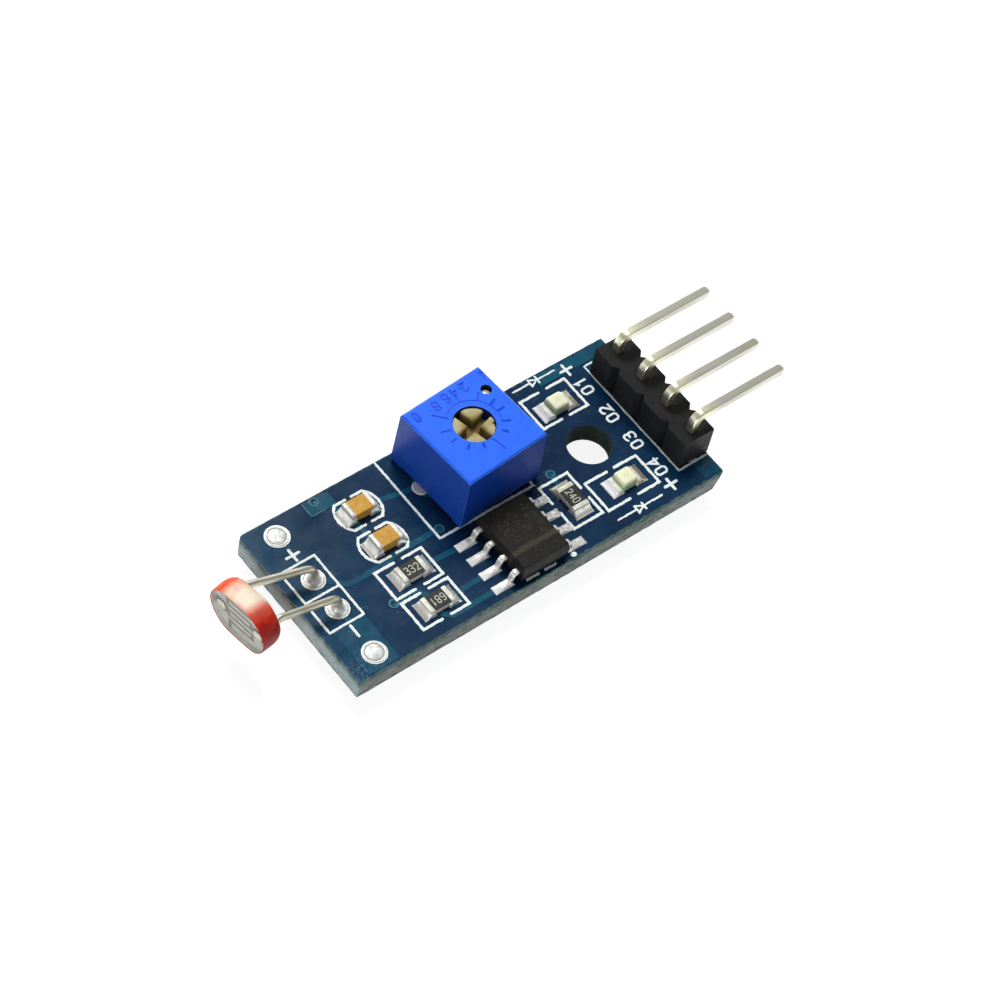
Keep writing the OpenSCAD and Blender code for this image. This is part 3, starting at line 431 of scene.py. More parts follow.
def cell_resin():
    """Coat of the light cell: orange at the lit side to deep red at the other as painted light and shade,
    glossy, paler on top where the resin is thin and a highlight is painted.
    """
    skin = Surface(
        "cell_coat", Specular_IOR_Level=0.2, Coat_Weight=0.1, Coat_Roughness=0.2, Subsurface_Weight=0.35,
        Subsurface_Radius=(1.0, 0.2, 0.08), Subsurface_Scale=0.8 * MM,
    )
    # Painted light and shade: orange towards the lit side, deep red towards the other.
    across = skin.add(skin.y, skin.drift(-0.9, 0.9, 0.7, 3, 0.6))
    skin.colour = skin.ramp(
        skin.span(across, CELL_SHIFT - CELL_D / 2, CELL_SHIFT + CELL_D / 2),
        (0.0, (184, 22, 6)), (0.22, (238, 54, 4)), (0.6, (253, 84, 12)), (1.0, (250, 76, 12)),
    )
    # The pale crest is partly thin resin over the ceramic and partly a painted highlight.
    wander = skin.drift(-0.12, 0.12, 0.8, 2, 0.5)
    crest = TOP + CELL_HEIGHT + CELL_FLAT / 2 + 0.02
    thin = skin.span(skin.add(skin.z, wander), crest - 0.5, crest - 0.14, 0, 0.94)
    along = skin.add(skin.y, wander)
    for low, high, *values in ((0.95, 1.6, 1, 0.1), (-1.25, -0.55, 0.12, 1)):
        thin = skin.multiply(thin, skin.span(along, CELL_SHIFT + low, CELL_SHIFT + high, *values))
    skin.lay(thin, (255, 232, 208))
    return skin.finish(skin.drift(0.4, 0.52, 1.5, 3), (0.03, (0.9, 2)), (0.004, (4, 3)))


def cell_film():
    """The metal film of the cell's face, darker round the heads of the two leads."""
    skin = Surface("cell_electrode", Metallic=0.1, Specular_IOR_Level=0.4)
    cloud = skin.clouds(0.35, 0.7, 1, 1.6, 4, 0.6)
    skin.colour = skin.mix(cloud, (226, 228, 220), (196, 198, 190))
    for side in (1, -1):
        head = CELL_MATRIX @ Vector((-CELL_T / 2 + CELL_GLASS, side * CELL_LEAD_GAP / 2, 0))
        away = skin.node("ShaderNodeVectorMath", skin.place, head, operation="DISTANCE").outputs["Value"]
        away = skin.add(away, skin.drift(-0.06, 0.06, 3, 3))
        skin.lay(skin.span(away, HEAD_D / 2 + 0.12, HEAD_D / 2 + 0.3, 0.92, 0), (50, 52, 46))
    return skin.finish(skin.span(cloud, 0, 1, 0.45, 0.6), (0.002, (4, 3)))


def cell_glass():
    """Clear resin in front of the disc: it lets most light through and adds a soft, faintly grey gloss."""
    skin = Surface("cell_glass", Specular_IOR_Level=0.5, Alpha=0.1)
    skin.colour = skin.mix(skin.noise(1.2, 3), (250, 251, 244), (236, 238, 230))
    return skin.finish(skin.drift(0.12, 0.25, 2, 3), (0.015, (1.2, 2)))


def lamp_lens(number):
    """Clear yellowish resin with the emitting square's ring inside and green low edges."""
    low, high = box_mm(f"lamp_{number}_lens")
    centre = (low + high) / 2
    skin = Surface(
        f"lamp_lens_{'near' if centre.y < 0 else 'far'}", Specular_IOR_Level=0.5, Subsurface_Weight=0.5,
        Subsurface_Radius=(1.0, 1.0, 0.7), Subsurface_Scale=0.35 * MM,
    )
    skin.colour = skin.mix(skin.noise(2.5, 4), (255, 255, 226), (247, 248, 206))
    radius = skin.radius(centre)
    for ring, depth in ((0.13, 0.5), (0.27, 0.22), (0.4, 0.15)):
        off = skin.math("ABSOLUTE", skin.minus(radius, ring))
        skin.lay(skin.span(off, 0.02, 0.07, depth, 0), (190, 194, 140))
    skin.lay(skin.span(skin.z, TOP + 0.34, TOP + 0.66, 0.85, 0), (122, 190, 100))
    return skin.finish(skin.drift(0.2, 0.35, 4, 3), (0.006, (3, 2)))


# Every finish, by the name that the pieces below ask for
LOOK = {
    "mask": masked("mask_on_laminate", (12, 38, 66), (14, 54, 84)),
    "mask_copper": masked("mask_on_copper", (14, 78, 100), (20, 88, 110)),
    "mask_back": masked("mask_on_back", (12, 46, 76), (16, 62, 90)),
    "cut": cut_laminate(),
    "print": print_white(),
    "solder": metal(
        "solder", (250, 249, 244), (220, 218, 210), (0.2, 0.34), 1.8, relief=0.0015, spots=(158, 152, 142),
        metallic=0.75,
    ),
    "joint": metal(
        "flat_solder", (236, 238, 232), (206, 208, 202), (0.35, 0.5), 2.6, relief=0.003,
        spots=(182, 180, 174), metallic=0.45,
    ),
    "dish": metal(
        "dull_solder", (228, 232, 226), (182, 186, 180), (0.42, 0.55), 3.2, relief=0.006,
        spots=(132, 132, 128), metallic=0.4,
    ),
    "groove": metal("solder_groove_painted_shade", (132, 132, 128), (110, 110, 106), (0.3, 0.45), relief=0.003),
    "bright": metal(
        "solder_painted_highlight", (253, 253, 251), (240, 240, 237), (0.25, 0.4), 1.8, relief=0.0015,
        spots=(186, 182, 176), metallic=0.15,
    ),
    "tan_solder": metal(
        "tan_solder", (226, 218, 196), (184, 174, 150), (0.25, 0.4), 1.8, relief=0.0015,
        spots=(140, 130, 108), metallic=0.7,
    ),
    "tin": metal("tin", (240, 241, 236), (204, 204, 198), (0.28, 0.45), metallic=0.5),
    "pin": metal(
        "pin_metal", (220, 218, 204), (194, 192, 178), (0.28, 0.38), 1.2, (0.25, 2, 2), 0.0005, metallic=0.95,
        bend_highlight=True,
    ),
    "wire": metal(
        "lead_wire", (214, 212, 192), (184, 181, 160), (0.3, 0.42), 1.2, (0.5, 1.4, 1.4), 0.001, metallic=0.9
    ),
    "brass": metal("spring_metal", (206, 170, 96), (160, 122, 60), (0.25, 0.4), metallic=0.9),
    "gull": metal(
        "gull_metal", (250, 250, 244), (214, 212, 206), (0.25, 0.38), 2.4, relief=0.001, metallic=0.55
    ),
    "ends": metal(
        "chip_ends", (226, 226, 214), (186, 184, 172), (0.38, 0.55), 4.0, relief=0.006, metallic=0.4
    ),
    "header": plastic("header_plastic", (10, 10, 12), (21, 21, 22), (0.46, 0.66), 1.6, 0.012, 0.25),
    "etched": plastic("etched_mark", (60, 58, 51), (26, 25, 21), (0.6, 0.8), 2.2, 0.002, 0.2),
    "wall": plastic("hole_wall_painted_shade", (30, 44, 38), (58, 72, 60), (0.7, 0.9), 1.5, 0.02, 0.2),
    "lip": plastic("mask_lip_painted_highlight", (34, 100, 118), (92, 140, 158), (0.2, 0.35), 0.35, 0.002, 0.3),
    "ceramic": plastic("ceramic", (232, 228, 216), (214, 208, 194), (0.5, 0.7)),
    "film": plastic("film", (52, 50, 46), (70, 66, 60), (0.5, 0.7)),
    "rubber": plastic("seal_rubber", (134, 44, 32), (112, 34, 26), (0.5, 0.7)),
    "closing": plastic("closing_resin", (44, 44, 42), (62, 60, 56), (0.3, 0.5), 1.2, 0.02),
    "line": plastic("cell_line", (126, 108, 98), (104, 90, 80), (0.4, 0.6), 4.0),
    "resistor": plastic("resistor_ceramic", (226, 222, 212), (204, 200, 190), (0.5, 0.7)),
    "glaze": plastic("resistor_glaze", (28, 29, 24), (44, 44, 36), (0.3, 0.45), 3.0, 0.004, 0.35),
    "code": plastic("resistor_code", (222, 222, 206), (184, 184, 168), (0.5, 0.7), 6.0),
    "capacitor": plastic("capacitor_ceramic", (214, 164, 66), (194, 142, 50), (0.4, 0.6), 3.0, 0.006, 0.35),
    "lamp_board": plastic("lamp_board", (206, 222, 190), (150, 186, 140), (0.4, 0.6), 3.0),
    "die": plastic("lamp_die", (120, 140, 66), (96, 116, 54), (0.3, 0.5), 8.0),
    "housing": housing_blue("housing_plastic", (32, 108, 250), (26, 102, 246), (70, 134, 253), 0.7, 0.66),
    "worn": housing_blue("housing_pale_edges", (112, 160, 252), (84, 140, 250), (238, 244, 253), 0.4),
    "groove_painted_shade": housing_blue("housing_groove_painted_shade", (22, 84, 232), (18, 78, 224), (48, 112, 246), 0.66),
    "shade": housing_blue("housing_painted_shade", (8, 24, 76), (6, 18, 60), (16, 40, 110), 0.7),
    "chip": chip_resin(),
    "rotor": rotor_plastic(),
    "coat": cell_resin(),
    "glass": cell_glass(),
    "electrode": cell_film(),
    "lens_1": lamp_lens(1),
    "lens_2": lamp_lens(2),
}


# Mesh tools, all in millimetres


def new_piece(name, mesh, looks, replaces=(), body="module", smooth=34, weighted=False):
    """The object of a mesh drawn in millimetres: it rides on a body and stands for CAD nodes."""
    bmesh.ops.recalc_face_normals(mesh, faces=mesh.faces)
    data = bpy.data.meshes.new(name)
    mesh.to_mesh(data)
    mesh.free()
    data.transform(Matrix.Scale(MM, 4))
    for look in looks:
        data.materials.append(LOOK[look])
    data.shade_smooth()
    data.set_sharp_from_angle(angle=math.radians(smooth))
    piece = bpy.data.objects.new(name, data)
    bpy.context.scene.collection.objects.link(piece)
    if weighted:
        even = piece.modifiers.new("even_shading", "WEIGHTED_NORMAL")
        even.keep_sharp = True
        even.weight = 60
    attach(piece, body)
    if replaces:
        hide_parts(*replaces)


def cad_mesh(node):
    """A welded copy of a CAD node."""
    mesh = bmesh.new()
    mesh.from_mesh(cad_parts[node].data)
    bmesh.ops.scale(mesh, vec=(1 / MM,) * 3, verts=mesh.verts)
    bmesh.ops.remove_doubles(mesh, verts=mesh.verts, dist=0.0004)
    return mesh


def round_edges(mesh, edges, width, segments, material=-1):
    bmesh.ops.bevel(
        mesh, geom=edges, offset=width, offset_type="OFFSET", segments=segments, profile=0.5,
        affect="EDGES", clamp_overlap=True, material=material,
    )


def bevelled(node, width, segments, material=-1):
    """A copy of a CAD node with flat areas as single faces and the edges between them rounded."""
    mesh = cad_mesh(node)
    bmesh.ops.dissolve_limit(mesh, angle_limit=math.radians(1), verts=mesh.verts, edges=mesh.edges)
    sharp = [
        edge for edge in mesh.edges
        if len(edge.link_faces) == 2 and edge.calc_face_angle() > math.radians(30)
    ]
    round_edges(mesh, sharp, width, segments, material)
    return mesh


def add_block(mesh, low, high, width, segments=3, matrix=None):
    """A block with rounded edges."""
    part = bmesh.new()
    low, high = Vector(low), Vector(high)
    size = Matrix.Diagonal((*(high - low), 1))
    bmesh.ops.create_cube(part, size=1, matrix=Matrix.Translation((low + high) / 2) @ size)
    round_edges(part, part.edges, width, segments)
    join(mesh, part, matrix)


def join(mesh, part, matrix=None):
    """Adds a part's faces to a mesh and frees the part."""
    if matrix is not None:
        part.transform(matrix)
    copies = {vert: mesh.verts.new(vert.co) for vert in part.verts}
    for face in part.faces:
        copy = mesh.faces.new([copies[vert] for vert in face.verts])
        copy.material_index = face.material_index
    part.free()


def wobble(point, scale, amount, seed=0.0):
    """A smooth random number for a place, between -amount and amount."""
    return noise.noise(Vector(point) * scale + Vector((seed, seed * 1.7, -seed))) * amount


def all_round(sides):
    """The angles of a regular polygon's corners, in radians."""
    return [2 * math.pi * k / sides for k in range(sides)]


def towards(angle):
    """The level direction at an angle in radians."""
    return Vector((math.cos(angle), math.sin(angle), 0))


def arc_point(radius, angle, centre=Vector(), level=0.0):
    """A place on an upright cylinder, the angle in radians."""
    return Vector((centre.x + radius * math.cos(angle), centre.y + radius * math.sin(angle), level))


def add_band(mesh, below, above):
    """Faces between two rings of vertices."""
    for a, b, c, d in zip(below, below[1:] + below[:1], above[1:] + above[:1], above):
        mesh.faces.new((a, b, c, d))


def grid_walls(mesh, rings, closed=False):
    """Faces between successive rings of points, and over both ends if closed. Returns the vertices."""
    made = [[mesh.verts.new(point) for point in ring] for ring in rings]
    for below, above in zip(made, made[1:]):
        add_band(mesh, below, above)
    if closed:
        mesh.faces.new(made[0][::-1])
        mesh.faces.new(made[-1])
    return made


def add_revolved(mesh, profile, centre, sides=48, lump=0.0, scale=2.0, seed=0.0):
    """A round body from (radius, height) pairs, with lumps of a given size."""
    rings = []
    for radius, height in profile:
        ring = []
        for angle in all_round(sides):
            point = Vector((radius * math.cos(angle), radius * math.sin(angle), height)) + centre
            grow = 1 + wobble(point, scale, lump / max(radius, 0.1), seed)
            level = height + wobble(point, scale, lump, seed + 9)
            ring.append(arc_point(radius * grow, angle, centre, level))
        rings.append(ring)
    grid_walls(mesh, rings, closed=True)


def rounded_path(points, bend, step=7.0):
    """The middle line of a bent wire, with an arc of radius bend at each inner corner."""
    line = [points[0]]
    for before, corner, after in zip(points, points[1:], points[2:]):
        way_in = (corner - before).normalized()
        way_out = (after - corner).normalized()
        angle = way_in.angle(way_out)
        inward = (way_out - way_in * way_in.dot(way_out)).normalized()
        start = corner - way_in * bend * math.tan(angle / 2)
        steps = max(2, math.ceil(math.degrees(angle) / step))
        for k in range(steps + 1):
            turn = angle * k / steps
            line.append(start + bend * (inward * (1 - math.cos(turn)) + way_in * math.sin(turn)))
    line.append(points[-1])
    return line


def resampled(line, step):
    """The same line with no stretch longer than step."""
    result = [line[0]]
    for start, end in zip(line, line[1:]):
        count = max(1, math.ceil((end - start).length / step))
        result += [start.lerp(end, k / count) for k in range(1, count + 1)]
    return result


def add_tube(mesh, line, radius, sides=20, lump=0.0, seed=0.0):
    """A round wire along a line, with its ends closed."""
    side = Vector((0, 1, 0))
    rings = []
    for i, point in enumerate(line):
        way = (line[min(i + 1, len(line) - 1)] - line[max(i - 1, 0)]).normalized()
        side = (side - way * side.dot(way)).normalized()
        other = way.cross(side)
        ring = []
        for angle in all_round(sides):
            out = side * math.cos(angle) + other * math.sin(angle)
            ring.append(point + out * (radius + wobble(point + out, 1.7, lump, seed)))
        rings.append(ring)
    grid_walls(mesh, rings, closed=True)


def add_stroke(mesh, points, width, low, high, closed=False, ragged=0.0, step=0.14, seed=0.0, climb=0.0):
    """A flat line of print or a groove: a strip from low to high, climbing a little, with round ends."""
    points = [Vector((point[0], point[1], 0)) for point in points]
    if closed:
        points.append(points[0])
    line = resampled(points, step)
    if closed:
        line.pop()
    count = len(line)
    left, right = [], []
    for i, point in enumerate(line):
        before = line[i - 1] if i or closed else point
        after = line[(i + 1) % count] if i + 1 < count or closed else point
        way_in = (point - before).normalized() if before != point else (after - point).normalized()
        way_out = (after - point).normalized() if after != point else way_in
        both = way_in + way_out
        across = Vector((-both.y, both.x, 0))
        doubling_back = across.length <= 0.5
        across = Vector((-way_in.y, way_in.x, 0)) if doubling_back else 2 * across / across.length_squared
        left.append(point + across * (width / 2 + wobble(point, 6, ragged, seed + 1)))
        right.append(point - across * (width / 2 + wobble(point, 6, ragged, seed + 5)))
    top, bottom = [], []
    for rows, level, slope in ((top, high, climb / count), (bottom, low, 0)):
        for i, (a, b) in enumerate(zip(left, right)):
            z = level + slope * i
            rows.append((mesh.verts.new((a.x, a.y, z)), mesh.verts.new((b.x, b.y, z))))
    for i in range(count if closed else count - 1):
        j = (i + 1) % count
        mesh.faces.new((top[i][0], top[i][1], top[j][1], top[j][0]))
        mesh.faces.new((bottom[j][0], bottom[j][1], bottom[i][1], bottom[i][0]))
        mesh.faces.new((top[i][0], top[j][0], bottom[j][0], bottom[i][0]))
        mesh.faces.new((top[j][1], top[i][1], bottom[i][1], bottom[j][1]))
    if closed:
        return
    for i, outward in ((0, -1), (count - 1, 1)):
        arm = left[i] - line[i]
        arc = [Matrix.Rotation(-outward * math.pi * k / 6, 3, "Z") @ arm + line[i] for k in range(1, 6)]
        upper = [mesh.verts.new((p.x, p.y, top[i][0].co.z)) for p in arc]
        lower = [mesh.verts.new((p.x, p.y, low)) for p in arc]
        upper = [top[i][0], *upper, top[i][1]]
        lower = [bottom[i][0], *lower, bottom[i][1]]
        mesh.faces.new(upper if outward < 0 else upper[::-1])
        mesh.faces.new(lower[::-1] if outward < 0 else lower)
        for k in range(6):
            mesh.faces.new((upper[k], upper[k + 1], lower[k + 1], lower[k]))


# Plain figures as strokes in a cell 0.6 wide and 1 high
FIGURES = {
    "0": [[(0.15, 0), (0.45, 0), (0.6, 0.18), (0.6, 0.82), (0.45, 1), (0.15, 1), (0, 0.82), (0, 0.18),
           (0.15, 0)]],
    "1": [[(0.12, 0.78), (0.34, 1), (0.34, 0)]],
    "2": [[(0, 0.8), (0.14, 0.97), (0.44, 0.97), (0.6, 0.8), (0.56, 0.56), (0, 0), (0.6, 0)]],
    "3": [[(0, 0.9), (0.16, 1), (0.46, 1), (0.58, 0.86), (0.58, 0.66), (0.42, 0.54), (0.22, 0.54)],
          [(0.42, 0.54), (0.6, 0.4), (0.6, 0.16), (0.44, 0), (0.14, 0), (0, 0.12)]],
    "4": [[(0.46, 0), (0.46, 1), (0, 0.3), (0.62, 0.3)]],
    "6": [[(0.52, 0.94), (0.4, 1), (0.18, 1), (0, 0.78), (0, 0.18), (0.16, 0), (0.44, 0), (0.6, 0.18),
           (0.6, 0.4), (0.44, 0.56), (0.16, 0.56), (0, 0.42)]],
    "8": [[(0.16, 0.54), (0.02, 0.68), (0.02, 0.86), (0.16, 1), (0.44, 1), (0.58, 0.86), (0.58, 0.68),
           (0.44, 0.54), (0.16, 0.54), (0, 0.38), (0, 0.14), (0.16, 0), (0.44, 0), (0.6, 0.14), (0.6, 0.38),
           (0.44, 0.54)]],
}


def add_figures(mesh, text, middle, height, turn, width, low, high, ragged=0.0, narrow=1.0, climb=0.0):
    """Plain figures in a row, centred on a place and turned by an angle in degrees."""
    cell = 0.6
    gap = 0.36
    length = len(text) * cell + (len(text) - 1) * gap
    rotation = Matrix.Rotation(math.radians(turn), 3, "Z")
    for index, figure in enumerate(text):
        shift = index * (cell + gap) - length / 2
        for line in FIGURES[figure]:
            spots = [
                rotation @ (Vector(((x + shift) * narrow, y - 0.5, 0)) * height)
                + Vector((middle[0], middle[1], 0))
                for x, y in line
            ]
            add_stroke(mesh, spots, width, low, high, ragged=ragged, step=0.1, seed=index, climb=climb)


def on_board(x, y):
    """A place measured from the sensor end and the near long edge."""
    return (SENSOR_END + x, y - HALF_WIDTH)


# Board


def board_outline(step=0.16):
    """The board's edge as points, with two rounded corners and two nearly sharp ones."""
    sharp_r = 0.06
    corners = (
        (SENSOR_END, -HALF_WIDTH, sharp_r, 180),
        (HEADER_END, -HALF_WIDTH, 0.2, 270),
        (HEADER_END, HALF_WIDTH, sharp_r, 0),
        (SENSOR_END, HALF_WIDTH, CORNER_R, 90),
    )
    points = []
    for x, y, radius, start in corners:
        middle = Vector((x - math.copysign(radius, x - CENTRE_X), y - math.copysign(radius, y), 0))
        steps = 8 if radius > 0.2 else 3
        points += [middle + radius * towards(math.radians(start + 90 * k / steps)) for k in range(steps + 1)]
    points.append(points[0].copy())
    return resampled(points, step)[:-1]


def worn_corner(point, level):
    """The near corner at the header end: nearly sharp at the top and worn round towards the foot."""
    radius = 0.2 + 0.75 * (1 - level / TOP) ** 1.6
    middle = Vector((HEADER_END - radius, -HALF_WIDTH + radius, 0))
    arm = point - middle
    if arm.x > 0 and arm.y < 0 and arm.length > radius:
        return middle + arm.normalized() * radius
    return point


def circle_points(centre, radius, sides, level):
    lift = Vector((0, 0, level))
    return [centre + radius * towards(angle) + lift for angle in all_round(sides)]


def ring_edges(mesh, ring):
    return [mesh.edges.get(ends) for ends in zip(ring, ring[1:] + ring[:1])]


def make_board():
    """Laminate with mask on both faces and roughly cut edges."""
    mesh = bmesh.new()
    outline = board_outline()
    count = len(outline)
    rings = []
    for level in (0, 0.05, 0.2, 0.4, 0.6, 0.8, 1.0, 1.2, 1.4, TOP - 0.05, TOP):
        ring = []
        for i, point in enumerate(outline):
            way = (outline[(i + 1) % count] - outline[i - 1]).normalized()
            inward = Vector((-way.y, way.x, 0))
            deep, rough = (0.045, 0.02) if level in (0, TOP) else (0.012, 0.05)
            spot = Vector((point.x, point.y, level * 3))
            cut = deep + rough * (0.5 + noise.noise(spot * 2.1) * 0.7) + 0.02 * abs(noise.noise(spot * 7))
            place = worn_corner(point, level) + inward * max(cut, 0)
            ring.append(place + Vector((0, 0, level)))
        rings.append(ring)
    made = grid_walls(mesh, rings)
    for face in mesh.faces:
        face.material_index = 1
    low_edges = ring_edges(mesh, made[0])
    high_edges = ring_edges(mesh, made[-1])
    for centre, diameter, sides in [(Vector(), HOLE_D, 72)] + [(p, d, 28) for p, d in DRILLS]:
        wall = [circle_points(centre, diameter / 2, sides, level) for level in (0, 0.4, 0.8, 1.2, TOP)]
        mounting = diameter == HOLE_D
        if mounting:
            for point in [point for ring in wall[1:-1] for point in ring]:
                out = Vector((point.x, point.y, 0)).normalized()
                point += out * (0.02 + wobble(point, 2.5, 0.03, 3))
        made = grid_walls(mesh, wall)
        low_edges += ring_edges(mesh, made[0])
        high_edges += ring_edges(mesh, made[-1])
        # The mounting hole's wall takes a dark green as painted shade.
        for face in {face for ring in made for vert in ring for face in vert.link_faces}:
            face.material_index = 2 if mounting else 1
    for edges in (low_edges, high_edges):
        bmesh.ops.triangle_fill(mesh, use_beauty=True, use_dissolve=False, edges=edges)
    new_piece("laminate", mesh, ["mask", "cut", "wall"], ["board"], smooth=40)


def make_plated_holes():
    """Rings and barrels: bare tin, with the mask over the through connections and the terminal rings."""
    mesh = cad_mesh("plated_holes")
    for face in mesh.faces:
        middle = face.calc_center_median()
        top_side = middle.z > TOP + 0.005
        middle.z = 0
        by_via = min((middle - via).length for via in VIA_HOLES) < VIA_DRILL / 2 + RING / 2
        reach = TERMINAL_DRILL / 2 + POT_RING + 0.01
        by_terminal = min((middle - hole).length for hole in TERMINAL_HOLES) < reach
        if by_via or (by_terminal and top_side):
            face.material_index = 1
    for vert in mesh.verts:
        for via in VIA_HOLES:
            arm = Vector((vert.co.x - via.x, vert.co.y - via.y, 0))
            if VIA_RIM < arm.length < VIA_DRILL / 2 + RING + 0.01:
                vert.co += arm.normalized() * (VIA_RIM - arm.length)
    new_piece("hole_plating", mesh, ["tin", "mask_copper"], ["plated_holes"])

    # The rims are ridges in near-white solder, as a painted highlight.
    rims = bmesh.new()
    rim = ((0.4, 0.001), (0.43, 0.01), (0.48, 0.03), (0.53, 0.036), (0.57, 0.02), (0.59, 0.001))
    for side in (-1, 1):
        pad = pot_point(side * 3.28, PIN_SHIFT + 0.05)
        add_revolved(rims, [(r, SEAT + lift) for r, lift in rim], pad, 48, 0.004, 3.0, side * 2.0)
    new_piece("terminal_rims", rims, ["bright"], smooth=40)

    vias = bmesh.new()
    lips = bmesh.new()
    plug = ((0.02, 0.1), (VIA_DRILL / 2, 0.1), (VIA_DRILL / 2, 0.01), (0.12, 0.02), (0.03, 0.03))
    lip = ((0.09, -0.01), (0.08, 0.004), (0.045, 0.01), (0.005, 0.004), (0, -0.01))
    for via in VIA_HOLES:
        add_revolved(vias, [(r, TOP - depth) for r, depth in plug], via, 20)
        rings = [circle_points(via, VIA_RIM - inset, 40, SEAT + lift) for inset, lift in lip]
        made = grid_walls(lips, rings)
        add_band(lips, made[-1], made[0])
    for a, b in (((6.05, 11.64), (4.95, 11.64)), ((4.95, 11.64), (4.95, 12.75))):
        add_stroke(lips, [on_board(*a), on_board(*b)], 0.06, SEAT - 0.01, SEAT + 0.005, step=0.3)
    new_piece("via_plugs", vias, ["mask_copper"], smooth=40)
    # The raised copper edges under the mask take a paler teal as a painted highlight.
    new_piece("copper_edges", lips, ["lip"], smooth=50)


# Print


def split_box(x0, x1, y0, y1, gap):
    """Two facing brackets round a part, open in the middle of the long sides."""
    middle = (x0 + x1) / 2
    return [
        [(middle + side * gap / 2, y1), (end, y1), (end, y0), (middle + side * gap / 2, y0)]
        for side, end in ((-1, x0), (1, x1))
    ]


def split_box_across(x0, x1, y0, y1, gap):
    """The same with the long sides along Y."""
    middle = (y0 + y1) / 2
    return [
        [(x0, middle + side * gap / 2), (x0, end), (x1, end), (x1, middle + side * gap / 2)]
        for side, end in ((-1, y0), (1, y1))
    ]


def round_box(x0, x1, y0, y1, gap, bulge):
    """Two facing brackets whose outer ends are arcs."""
    middle_x = (x0 + x1) / 2
    middle_y = (y0 + y1) / 2
    half = (y1 - y0) / 2
    radius = (half * half + bulge * bulge) / (2 * bulge)
    reach = math.asin(half / radius)
    lines = []
    for side, edge in ((-1, x0), (1, x1)):
        angles = [reach * (1 - k / 4) for k in range(9)]
        arc = [
            (edge - side * (radius - radius * math.cos(angle)), middle_y + radius * math.sin(angle))
            for angle in angles
        ]
        lines.append([(middle_x + side * gap / 2, y1), *arc, (middle_x + side * gap / 2, y0)])
    return lines


def cross(x, y, arm):
    return [[(x - arm, y), (x + arm, y)], [(x, y - arm), (x, y + arm)]]


def lamp_symbol(x0, x1, y):
    """The usual drawing of a light-emitting diode, between two places."""
    middle = (x0 + x1) / 2
    half = 0.28
    back = middle - 0.3
    front = middle + 0.3
    return [
        [(x0, y), (back, y)],
        [(back, y + half), (back, y - half), (middle + 0.26, y), (back, y + half)],
        [(front, y + half), (front, y - half)],
        [(front, y), (x1, y)],
    ]


def make_print():
    """White print: outlines of the parts, signs, pin numbers and lamp symbols."""
    mesh = bmesh.new()
    high = SEAT + 0.014
    fine, thin, wide = 0.13, 0.16, 0.19
    groups = (
        (thin, True, [[(0.69, 4.0), (3.33, 4.0), (3.33, 9.22), (0.69, 9.22)]]),
        (thin, False, [[(0.69, 6.56), (3.33, 6.56)]]),
        (wide, False, [
            *cross(2.17, 9.92, 0.46), [(2.1, 3.74), (2.1, 2.86)],
            *round_box(6.13, 9.32, 9.32, 11.56, 0.5, 0.5), *round_box(5.97, 9.2, 6.55, 8.75, 0.5, 0.5),
            *split_box(5.70, 9.38, 3.70, 6.03, 0.7), *split_box(5.77, 9.42, 1.02, 3.31, 0.7),
            *split_box_across(18.63, 21.0, 1.82, 5.52, 0.9),
            *split_box(21.43, 25.72, 1.70, 4.18, 0.7), *split_box(21.9, 25.65, 9.07, 11.6, 0.7),
            *cross(26.25, 1.15, 0.46), *cross(26.2, 12.1, 0.46),
        ]),
        (thin, False, [
            [(10.84, 12.85), (10.84, 5.93), (18.5, 5.93), (18.5, 6.7)],
            [(13.66, 0.41), (14.52, 0.41)], [(15.11, 0.41), (15.93, 0.41)],
        ]),
        (0.34, False, [[(17.3, 0.32), (17.4, 0.32)]]),
        (fine, False, [
            [(29.85, 11.67), (27.43, 11.67), (27.43, 1.70), (29.85, 1.70)],
            *lamp_symbol(21.5, 25.2, 0.8), *lamp_symbol(22.0, 25.5, 12.5),
        ]),
    )
    strokes = [(line, width, closed) for width, closed, lines in groups for line in lines]
    for number, (line, width, closed) in enumerate(strokes):
        spots = [on_board(x, y) for x, y in line]
        level = high + 0.0012 * (number % 5)
        add_stroke(mesh, spots, width, TOP, level, closed, ragged=0.045, seed=number * 3.1, climb=0.001)
    for text, y in (("04", 2.7), ("03", 5.2), ("02", 7.75), ("01", 10.4)):
        add_figures(mesh, text, on_board(26.4, y), 0.8, 90, 0.15, TOP, high, 0.015, climb=0.004)
    new_piece("white_print", mesh, ["print"], smooth=30)


# Solder


def smooth_step(value, low, high):
    share = min(max((value - low) / (high - low), 0), 1)
    return share * share * (3 - 2 * share)


